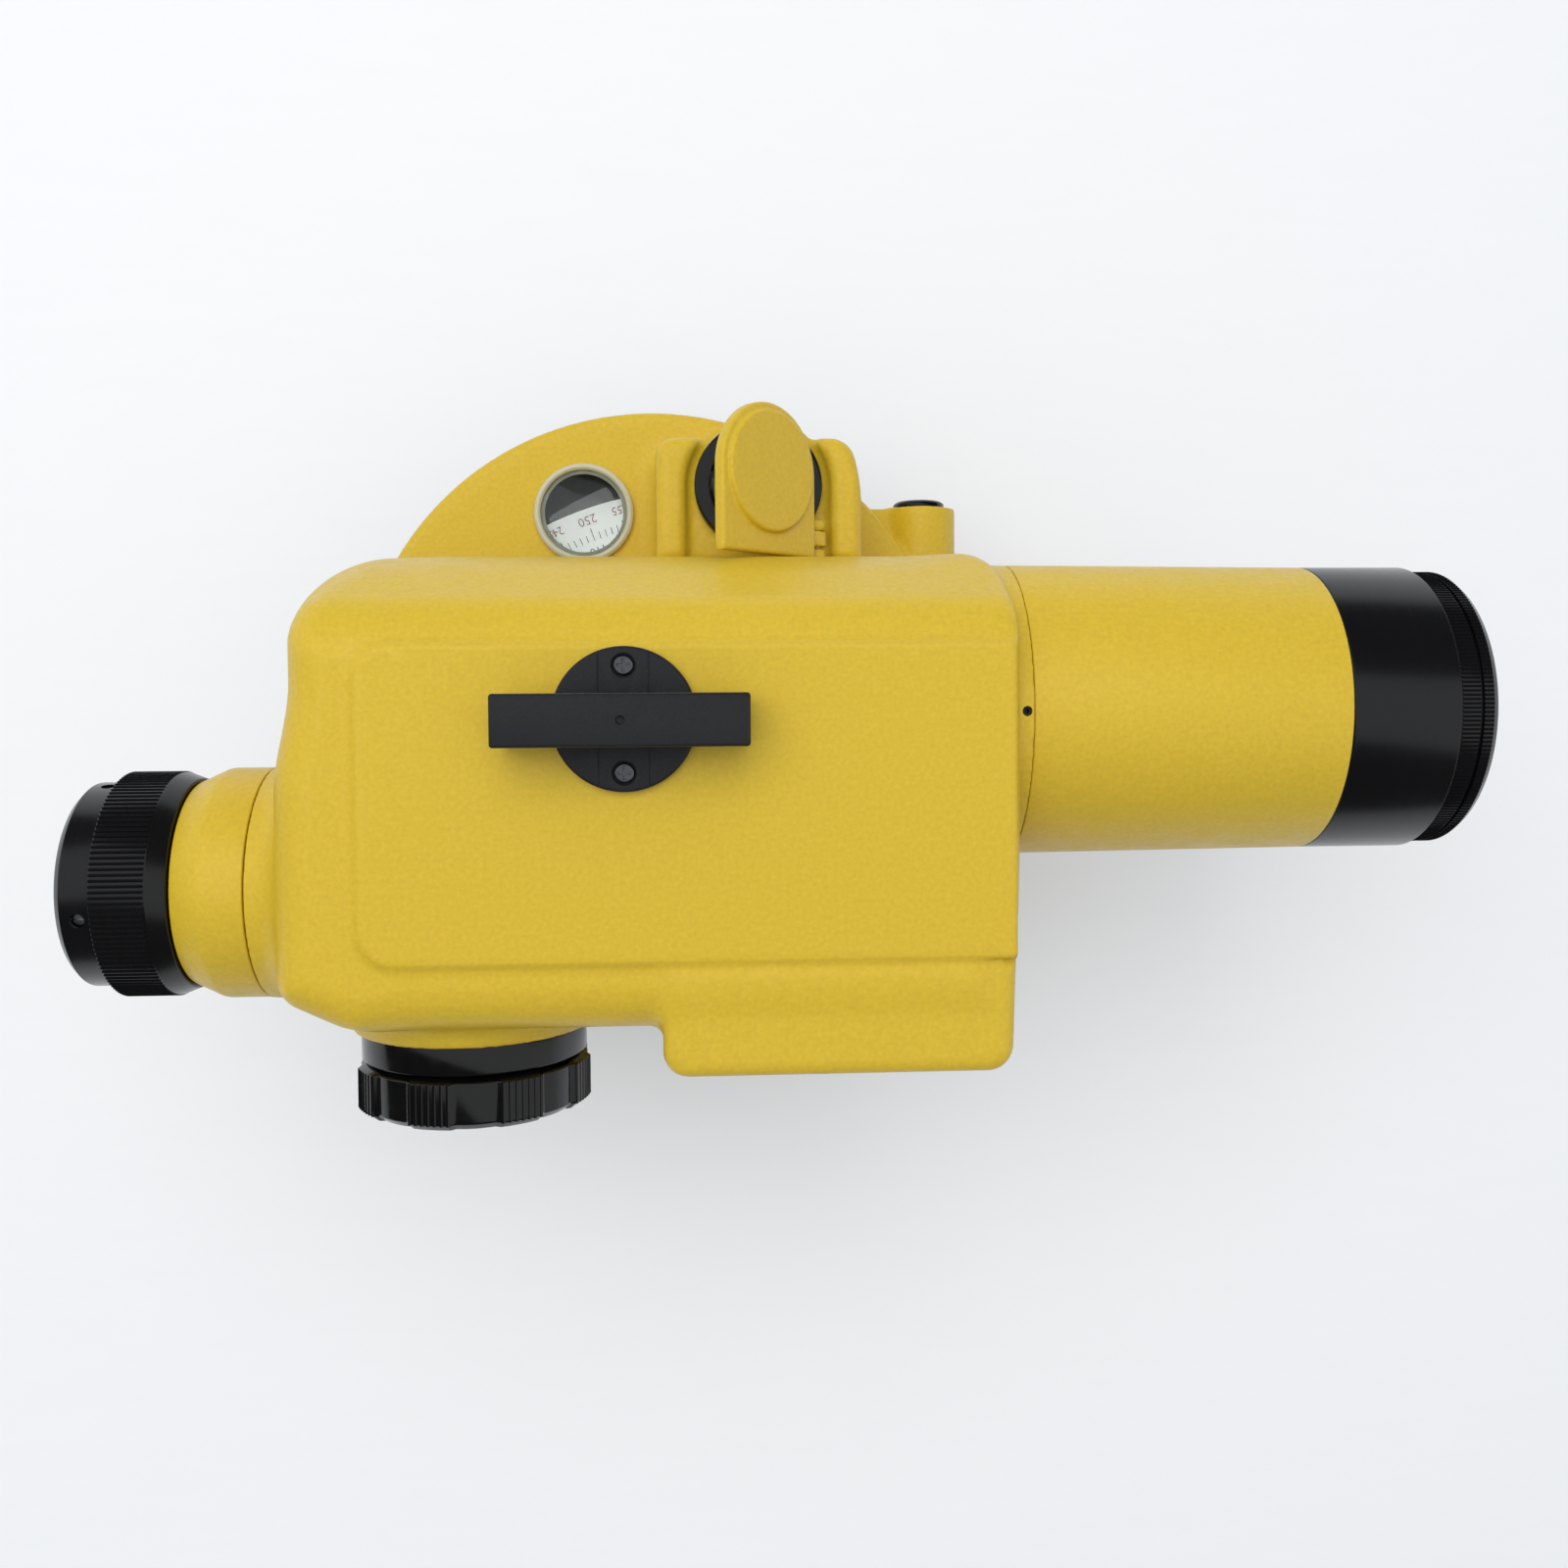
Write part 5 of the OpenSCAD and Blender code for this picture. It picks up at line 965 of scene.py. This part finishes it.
def make_sight():
    """Moulded peep sight with its square tunnel, grooved foot and two cross-recess screws"""
    low, high = SIGHT_X - SIGHT_HALF, SIGHT_X + SIGHT_HALF
    foot = turned("foot", "Z", (SIGHT_X, SIGHT_Y, 0), [
        (PANEL_Z, 0), (PANEL_Z, 12.5, 0.1), (141.7, 12.5, 0.5), (141.7, 0)], 128)
    screws = [rod("hole", "Z", (SIGHT_X, SIGHT_Y + y, 0), PANEL_Z + 1, 143, 2.15, 32)
              for y in (SIGHT_SCREW, -SIGHT_SCREW)]
    lines = [bar("line", (x - 0.15, -14, 141.5), (x + 0.15, 14, 142))
             for x in (SIGHT_X - 4.3, SIGHT_X + 4.3)]
    cut(foot, *screws, *lines)
    beam = bevelled(bar("beam", (low, SIGHT_Y - 4.45, 141.6), (high, SIGHT_Y + 4.45, 152)), 0.55)
    tunnel = bar("tunnel", (low - 2, SIGHT_Y - 2.5, 144.35), (high + 2, SIGHT_Y + 2.5, 149.35))
    bevelled(tunnel, 0.2, 2)
    dimple = turned("dimple", "Z", (SIGHT_X, SIGHT_Y, 0), [
        (151.2, 0), (151.5, 0.7), (153, 0.95), (153, 0)], 24)
    cut(beam, tunnel, dimple)
    sight = joined(foot, beam)
    sight.name = "sight_skin"
    placed(sight, "moulded", "alidade", ["peep_sight"])
    place = SIGHT_Y + SIGHT_SCREW
    screw = turned("sight_cross_screws", "Z", (SIGHT_X, place, 0), [
        (136.9, 0), (136.9, 1.15), (140.5, 1.15), (140.5, 1.75, 0.15), (141.7, 1.75, 0.35), (141.7, 0)], 32)
    cut(screw, *[bar("slot", (SIGHT_X - a, place - b, 140.9), (SIGHT_X + a, place + b, 143))
                 for a, b in ((1.2, 0.3), (0.3, 1.2))])
    grown(screw, "copies", Count=2, Centre=[SIGHT_X * MM, SIGHT_Y * MM, 0], Axis=[0, 0, 1],
          Finish=finish("blackened"))
    placed(screw, "blackened", "alidade", ["sight_screws"])


def make_vial():
    """Circular vial: glossy ring, tinted spirit, bubble, index circle and domed glass"""
    centre = (VIAL.x, VIAL.y, 0)
    ring = turned("vial_ring", "Z", centre, [
        (POCKET_FLOOR, 0), (POCKET_FLOOR, VIAL_RING_R), (84.2, VIAL_RING_R, 0.1), (84.3, 13.15),
        (84.6, 13.15), (84.7, VIAL_RING_R, 0.1), (BLOCK_TOP, VIAL_RING_R, 0.7),
        (BLOCK_TOP, 10.4, 0.3), (86.4, 9.55, 0.2), (79, 9.55), (79, 0)], 144)
    placed(ring, "polished", "alidade", ["vial_housing"])
    glass = turned("vial_window", "Z", centre, dome(83.4, 1.2, 9.5) + dome(85.4, 1.0, 9.5)[::-1], 96)
    placed(glass, "glass", "alidade", ["vial_glass"])
    spirit = turned("vial_spirit", "Z", centre, [(79.05, 0), (79.05, 9.4)] + dome(83.35, 1.1, 9.4)[::-1], 96)
    placed(spirit, "spirit", "alidade", sharp=60)
    index = turned("vial_index", "Z", centre, [(84.25, 3.0), (84.25, 3.35), (84.5, 3.35), (84.5, 3.0)], 64)
    placed(index, "ink_black", "alidade")
    oval = [(84.2 + 0.32 * math.sin(a), 2.4 * math.cos(a)) for a in (
        k * math.pi / 12 - math.pi / 2 for k in range(13))]
    bubble = turned("vial_bubble", "Z", (VIAL.x + 0.3, VIAL.y - 0.2, 0), oval, 48)
    placed(bubble, "glass", "alidade", sharp=60)


def make_mirror():
    """Mirror holder: painted plate with a round end and a raised round back, tilted on its hinge"""
    def field(u, v, w):
        round_end = np.hypot(u - MIRROR_U, np.maximum(v - MIRROR_V, 0)) - HOLDER_R
        plate = both(np.maximum(round_end, 31.1 - v), np.maximum(w - 2.9, 0.4 - w), 0.6)
        back = both(np.hypot(u - MIRROR_U, v - MIRROR_V) - 12.0, np.maximum(w - 3.9, 1 - w), 0.5)
        shape = either(plate, back, 0.4)
        width = np.maximum(33.9 - v, v - 36.9)
        knuckle = both(np.hypot(u, w) - 2.1, width, 0.25)
        root = both(np.maximum(np.maximum(-5.4 - u, u + 0.5), np.maximum(0.4 - w, w - 1.9)), width, 0.2)
        return either(shape, either(knuckle, root, 0.4), 0.5)

    holder = cast("mirror_frame", field, (-32, 31, -2.5), (2.5, 62, 5), 0.4)
    thinned(holder, 0.6)
    recess = rod("recess", "Z", (MIRROR_U - 0.05, MIRROR_V, 0), -1.4, 1.2, 12.04)
    cut(holder, recess, rod("bore", "Y", (0, 0, 0), 30, 41, 0.85, 24), solver="MANIFOLD")
    tilt = Matrix.Rotation(math.radians(45), 4, "Y")
    holder.data.transform(Matrix.Translation(HINGE * MM) @ tilt)
    placed(holder, "enamel", "mirror", ["mirror_holder"], 50)
    pin = rod("hinge_pin", "Y", HINGE, 31.2, 39.2, 0.8, 24)
    placed(pin, "steel_y", "alidade", ["mirror_pin"])


def make_loupe():
    """Loupe over the circle: translucent rim and a domed lens"""
    centre = (LOUPE.x, LOUPE.y, 0)
    rim = turned("loupe_ring", "Z", centre, [
        (LOUPE_LOW, 8.62), (LOUPE_LOW, 9.6), (DISC_TOP, 9.6), (DISC_TOP, 11.1, 0.1), (63.3, 11.1, 0.5),
        (63.9, 10.3, 0.3), (63.3, 9.67, 0.1), (DISC_TOP + 0.1, 9.67), (DISC_TOP + 0.1, 8.62)], 96)
    placed(rim, "acrylic", "alidade", ["loupe_rim"])
    flange = [(LOUPE_LOW, 0), (LOUPE_LOW, LOUPE_STEM_R), (DISC_TOP + 0.12, LOUPE_STEM_R),
              (DISC_TOP + 0.12, LOUPE_LENS_R)]
    bulge = dome(DISC_TOP + 0.5, 2.7, LOUPE_LENS_R, 16)[::-1]
    lens = turned("loupe_glass", "Z", centre, flange + bulge, 96)
    placed(lens, "glass", "alidade", ["loupe_lens"], 60)


def numerals(name, radius, height, finish_key, clockwise):
    """Numbers every ten degrees round the circle, their feet outwards"""
    parts = []
    for value in range(0, 360, 5):
        text = bpy.data.curves.new("number", "FONT")
        text.body = str((360 - value) % 360 if clockwise else value)
        text.size = height * MM
        text.align_x, text.align_y = "CENTER", "CENTER"
        text.resolution_u = 2
        text.extrude = 0.02 * MM
        label = bpy.data.objects.new("number", text)
        bpy.context.scene.collection.objects.link(label)
        graph = bpy.context.evaluated_depsgraph_get()
        mesh = bpy.data.meshes.new_from_object(label.evaluated_get(graph))
        bpy.data.objects.remove(label)
        angle = math.radians(value)
        spin = Matrix.Rotation(angle + math.pi / 2, 4, "Z")
        place = Matrix.Translation(Vector((radius * math.cos(angle), radius * math.sin(angle), 45.56)) * MM)
        mesh.transform(place @ spin)
        part = bpy.data.objects.new(name, mesh)
        bpy.context.scene.collection.objects.link(part)
        parts.append(part)
    whole = joined(*parts)
    whole.name = name
    return placed(whole, finish_key, "circle")


def make_circle():
    """Horizontal circle: blackened ring, white annulus, marks and two rows of numbers"""
    middle = (0, 0, 0)
    base = turned("circle_ring", "Z", middle, [(44, 38), (44, 54, 0.1), (45.46, 54, 0.1), (45.46, 38)], 192)
    placed(base, "backing", "circle", ["horizontal_circle"])
    band = turned("circle_scale", "Z", middle, [
        (45.4, 43.2), (45.4, 49.9), (45.52, 49.9), (45.52, 43.2)], 192)
    placed(band, "scale", "circle")
    marks = new_object("circle_marks", [(0, 0, 0)], [])
    grown(marks, "marks", Count=bpy.context.scene.level_sizes.circle_marks, Radius=45.9 * MM, Short=1.0 * MM,
          Middle=1.35 * MM, Long=1.7 * MM, Width=0.11 * MM, Thickness=0.04 * MM, Height=45.54 * MM,
          Finish=finish("ink_black"))
    placed(marks, "ink_black", "circle")
    numerals("circle_numbers_outer", 48.65, 1.5, "ink_red", True)
    numerals("circle_numbers_inner", 44.6, 1.5, "ink_black", False)


def flute_wave(count, reach, flute_r, low_r):
    """Radius of a knob with scalloped flutes"""
    def wave(station, radius, angle):
        if radius < low_r:
            return radius
        pitch = FULL_TURN / count
        off = (angle + pitch / 2) % pitch - pitch / 2
        side = flute_r ** 2 - (reach * math.sin(off)) ** 2
        return radius if side <= 0 else min(radius, reach * math.cos(off) - math.sqrt(side))
    return wave


def make_tangent():
    """Slotted spring cap and fluted tangent knob"""
    centre = (TANGENT.x, 0, TANGENT.z)
    cap = turned("tangent_cap", "Y", centre, [
        (38.7, 0), (38.7, 5.98), (TANGENT_REACH, 5.98), (TANGENT_REACH, 6.1, 0.1), (48.0, 5.9, 0.4),
        (48.5, 5.2, 0.4), (48.5, 0)], 96)
    cut(cap, bar("slot", (55, 47.5, 49.9), (69, 50, 51.1)))
    placed(cap, "polished", "alidade", ["spring_cap"])
    knob = turned("tangent_knob_skin", "Y", centre, [
        (-51.7, 3.02), (-48.8, 3.02), (-48.8, 6.5, 0.3), (-49.6, 9.5, 0.5), (-61.0, 9.5, 0.7),
        (-61.8, 8.2, 0.4), (-61.8, 5.6, 0.3), (-61.4, 5.2, 0.2), (-61.4, 0), (-51.7, 0)], 256,
        flute_wave(16, 10.1, 1.2, 9.0))
    placed(knob, "polished", "tangent_drive", ["tangent_knob"])


def corners(radius):
    """Three-cornered outline with its round corners centred on the foot screws"""
    reach = FOOT_REACH + 2 * radius
    return softened([round_z(reach, a, radius) for a in FOOT_ANGLES], 24)


def ball_arc(radius, steps, last):
    """Part of a half circle, in steps, round the middle of a foot screw's ball"""
    return [(BALL_Z - radius * math.cos(t), radius * math.sin(t))
            for t in (k * math.pi / steps for k in range(last + 1))]


def make_setting_ring():
    """Ribbed setting ring that carries the circle"""
    middle = (0, 0, 0)
    ring = turned("setting_ring", "Z", middle, [
        (36.8, 13.05), (36.8, 63.2, 0.8), (41.6, 63.2, 0.8), (41.6, 56.5), (39.3, 56.5), (39.3, 52), (44, 52),
        (44, 49), (39.3, 49), (39.3, 18), (43.5, 18), (43.5, 13.05)], 192)
    count = bpy.context.scene.level_sizes.setting_ribs
    ribbed(ring, "Z", middle, 37.7, 40.7, 63.2, count, 0.9, "anodised_z", 0.28)
    placed(ring, "anodised_z", "circle", ["circle_carrier"])


def make_lower_base():
    """Tribrach and base plate"""
    tribrach = bevelled(prism("tribrach_skin", corners(10.5), 26.5, 36.2), 0.8)
    cut(tribrach, rod("bore", "Z", (0, 0, 0), 29.5, 40, 20.02),
        *[rod("bore", "Z", round_z(FOOT_REACH, a), 20, 40, 7.62, 64) for a in FOOT_ANGLES])
    placed(tribrach, "painted", "base", ["tribrach"])
    plate = bevelled(prism("base_plate_skin", corners(14), 0, 8), 0.9)
    hub = turned("hub", "Z", (0, 0, 0), [(0.5, 0), (0.5, 17), (18, 17, 0.6), (18, 0)], 96)
    union = plate.modifiers.new("union", "BOOLEAN")
    union.operation, union.solver, union.object = "UNION", "EXACT", hub
    applied(plate)
    bpy.data.objects.remove(hub)
    thread = turned("thread", "Z", (0, 0, 0), [
        (-1, 0), (-1, 7.6)] + [(0.6 + 1.155 * k, 6.85 + (0.65 if k % 2 else 0)) for k in range(16)] + [
        (18.6, 7.6), (19, 7.6), (19, 0)], 72)
    balls = []
    for a in FOOT_ANGLES:
        balls.append(turned("ball", "Z", round_z(FOOT_REACH, a), ball_arc(BALL_R + 0.1, 24, 12) + [
            (14, BALL_R + 0.1), (14, 0)], 48))
    screws = [rod("hole", "Z", round_z(26, a), 3, 10, 1.27, 24) for a in (30, 150, 270)]
    cut(plate, thread, *balls, *screws)
    placed(plate, "painted", "base", ["base_plate"])


def make_foot_screws():
    """Three foot screws: ball, fluted knob and stem"""
    for number, angle in enumerate(FOOT_ANGLES, 1):
        ball = ball_arc(BALL_R, 20, 15)
        screw = turned(f"foot_screw_{number}_skin", "Z", round_z(FOOT_REACH, angle), ball + [
            (9.9, 2.6), (11.0, 2.6), (11.0, 11.5, 0.3), (12.2, 14, 0.6), (23.4, 14, 0.8), (24.5, 12, 0.5),
            (24.5, 5.5, 0.4), (25.2, 4, 0.3), (35.8, 4), (35.8, 0)], 216, flute_wave(18, 15, 1.8, 13.0))
        placed(screw, "polished", f"foot_{number}", [f"foot_screw_{number}"])


# CAD nodes that stay as they are, by finish
KEPT_NODES = {
    "steel": ["spring_plate", "spring_plate_screws", "spindle", "friction_arm", "cover_screws",
              "guide_rods", "suspension_tapes"],
    "brass": ["foot_bushes", "spindle_nut", "tangent_bush", "reticle_ring", "tangent_nut", "pendulum"],
    "steel_y": ["friction_clamp_screw", "plunger_spring", "tangent_screw", "spring_plunger", "focus_shaft"],
    "glass": ["objective_rear_lens", "reticle_glass", "fixed_prism", "focus_lens", "pendulum_prism"],
    "alloy": ["compensator_frame", "focus_carriage", "eyepiece_cell"],
    "silvered": ["vial_mirror"],
}


def dress_kept_nodes():
    """Finishes of the CAD nodes that stay"""
    for key, names in KEPT_NODES.items():
        for name in names:
            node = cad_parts[name]
            node.data.materials.clear()
            node.data.materials.append(finish(key))


def make_sky(scene):
    """Even daylight, stronger from the window's side; what shines shows a dim ceiling with one pale panel"""
    world = bpy.data.worlds.new("studio")
    scene.world = world
    world.use_nodes = True
    tree = world.node_tree
    tree.nodes.clear()
    where = add(tree, "ShaderNodeTexCoord").outputs["Generated"]
    way = add(tree, "ShaderNodeSeparateXYZ", None, {0: where}).outputs
    smooth = {"interpolation_type": "SMOOTHSTEP"}
    even = add(tree, "ShaderNodeMapRange", smooth, {
        "Value": way["Y"], "From Min": -0.8, "From Max": 0.8, "To Min": SKY_LOW, "To Max": SKY_HIGH})
    lean = add(tree, "ShaderNodeMath", {"operation": "MULTIPLY_ADD"}, {0: way["X"], 1: 0.3, 2: way["Y"]})
    off = arithmetic(tree, "ABSOLUTE", arithmetic(tree, "ADD", lean.outputs[0], -0.08))
    panel = add(tree, "ShaderNodeMapRange", smooth, {
        "Value": off, "From Min": 0.4, "From Max": 0.44, "To Min": PANEL_BRIGHT, "To Max": PANEL_DARK})
    shine = chosen(tree, "Is Glossy Ray", even.outputs[0], panel.outputs[0])
    sky = add(tree, "ShaderNodeBackground", None, {
        "Color": (0.97, 0.985, 1.0, 1), "Strength": chosen(tree, "Is Camera Ray", shine, SKY_SEEN)})
    add(tree, "ShaderNodeOutputWorld", None, {"Surface": sky.outputs[0]})


def make_table():
    """Pale laminate table, a little brighter where it is seen directly, in a shine or through glass"""
    half, top = 4000, -0.4
    table = new_object("table", [
        (-half, -half, top), (half, -half, top), (half, half, top), (-half, half, top)], [(0, 1, 2, 3)])
    made, tree, shader, where = started("white_laminate", IOR=1.45, Specular_IOR_Level=0.25)
    shades(tree, shader, grain(tree, stretched(tree, where, (0.2, 1, 1)), 6 * MM), linear("DADCDF"), 0.012)
    gloss(tree, shader, grain(tree, where, 20 * MM), 0.5, 0.6)
    path = add(tree, "ShaderNodeLightPath").outputs
    seen = arithmetic(tree, "MAXIMUM", path["Is Camera Ray"], path["Is Glossy Ray"])
    glowing(tree, shader, arithmetic(tree, "MAXIMUM", seen, path["Is Transmission Ray"]), TABLE_GLOW)
    table.data.materials.append(made)


def make_lamp(scene):
    """Wide window overhead, a little to the vial's side"""
    lamp = bpy.data.lights.new("window", "AREA")
    lamp.shape = "RECTANGLE"
    lamp.size, lamp.size_y = WINDOW_SIZE
    lamp.energy = WINDOW_POWER
    holder = bpy.data.objects.new("window", lamp)
    scene.collection.objects.link(holder)
    holder.location = WINDOW_PLACE
    holder.rotation_mode = "QUATERNION"
    holder.rotation_quaternion = (Vector(WINDOW_AIM) - Vector(WINDOW_PLACE)).to_track_quat("-Z", "Y")
    holder.visible_glossy = False


def make_camera(scene):
    """Camera over the instrument"""
    seen = bpy.data.cameras.new("overhead")
    seen.lens, seen.sensor_width = FOCAL_LENGTH, SENSOR
    seen.shift_x, seen.shift_y = SHIFT
    camera = bpy.data.objects.new("overhead", seen)
    scene.collection.objects.link(camera)
    x, y, z = (Matrix.Rotation(math.radians(a), 3, axis) for a, axis in zip(CAMERA_TURN, "XYZ"))
    camera.matrix_world = Matrix.Translation(Vector(CAMERA_PLACE)) @ (z @ x @ y).transposed().to_4x4()
    scene.camera = camera


def make_stage():
    """Table, sky, lamp and camera"""
    scene = bpy.context.scene
    scene.view_settings.view_transform = "Standard"
    make_table()
    make_sky(scene)
    make_lamp(scene)
    make_camera(scene)


class Step:
    """What the building operators share: each runs its own functions in turn"""
    makers = ()

    def execute(self, context):
        for make in self.makers:
            make()
        return {"FINISHED"}


class LEVEL_OT_housing(Step, bpy.types.Operator):
    """Builds the telescope housing"""
    bl_idname = "level.housing"
    bl_label = "Telescope housing"
    makers = (make_housing, make_cover)


class LEVEL_OT_base(Step, bpy.types.Operator):
    """Builds the round base housing with the vial's block"""
    bl_idname = "level.base"
    bl_label = "Base housing"
    makers = (make_base,)


class LEVEL_OT_objective(Step, bpy.types.Operator):
    """Builds the objective tube, its lock screw, rings and lens"""
    bl_idname = "level.objective"
    bl_label = "Objective"
    makers = (make_tube, make_lock_screw, make_objective)


class LEVEL_OT_eyepiece(Step, bpy.types.Operator):
    """Builds the eyepiece barrel, diopter ring and eye lens"""
    bl_idname = "level.eyepiece"
    bl_label = "Eyepiece"
    makers = (make_eyepiece,)


class LEVEL_OT_focus(Step, bpy.types.Operator):
    """Builds the focusing collar and knob"""
    bl_idname = "level.focus"
    bl_label = "Focusing knob"
    makers = (make_focus,)


class LEVEL_OT_sight(Step, bpy.types.Operator):
    """Builds the peep sight and its screws"""
    bl_idname = "level.sight"
    bl_label = "Peep sight"
    makers = (make_sight,)


class LEVEL_OT_vial(Step, bpy.types.Operator):
    """Builds the circular vial and its mirror"""
    bl_idname = "level.vial"
    bl_label = "Vial and mirror"
    makers = (make_vial, make_mirror)


class LEVEL_OT_circle(Step, bpy.types.Operator):
    """Builds the loupe, the graduated circle and its setting ring"""
    bl_idname = "level.circle"
    bl_label = "Loupe and circle"
    makers = (make_loupe, make_circle, make_setting_ring)


class LEVEL_OT_tangent(Step, bpy.types.Operator):
    """Builds the tangent drive's cap and knob"""
    bl_idname = "level.tangent"
    bl_label = "Tangent drive"
    makers = (make_tangent,)


class LEVEL_OT_feet(Step, bpy.types.Operator):
    """Builds the tribrach, base plate and foot screws"""
    bl_idname = "level.feet"
    bl_label = "Levelling base"
    makers = (make_lower_base, make_foot_screws)


class LEVEL_OT_kept(Step, bpy.types.Operator):
    """Gives the inner pieces their finishes"""
    bl_idname = "level.kept"
    bl_label = "Inner pieces"
    makers = (dress_kept_nodes,)


class LEVEL_OT_stage(Step, bpy.types.Operator):
    """Builds the table, sky, lamp and camera"""
    bl_idname = "level.stage"
    bl_label = "Studio"
    makers = (make_stage,)


class LEVEL_PT_panel(bpy.types.Panel):
    """Lists the steps that build the level"""
    bl_idname = "LEVEL_PT_panel"
    bl_label = "Automatic level"
    bl_space_type = "VIEW_3D"
    bl_region_type = "UI"
    bl_category = "Level"

    def draw(self, context):
        for group in (context.scene.level_sizes, context.scene.level_colours):
            for key in group.__annotations__:
                self.layout.prop(group, key)
        for step in STEPS:
            self.layout.operator(step.bl_idname)


STEPS = (
    LEVEL_OT_stage, LEVEL_OT_housing, LEVEL_OT_base, LEVEL_OT_objective, LEVEL_OT_eyepiece, LEVEL_OT_focus,
    LEVEL_OT_sight, LEVEL_OT_vial, LEVEL_OT_circle, LEVEL_OT_tangent, LEVEL_OT_feet, LEVEL_OT_kept,
)
CLASSES = (LevelSizes, LevelColours, *STEPS, LEVEL_PT_panel)


def register():
    for item in CLASSES:
        bpy.utils.register_class(item)
    bpy.types.Scene.level_sizes = PointerProperty(type=LevelSizes)
    bpy.types.Scene.level_colours = PointerProperty(type=LevelColours)


def unregister():
    del bpy.types.Scene.level_colours
    del bpy.types.Scene.level_sizes
    for item in reversed(CLASSES):
        bpy.utils.unregister_class(item)


def main():
    register()
    for step in STEPS:
        group, name = step.bl_idname.split(".")
        getattr(getattr(bpy.ops, group), name)()
    bpy.context.view_layer.update()


if __name__ == "__main__":
    main()
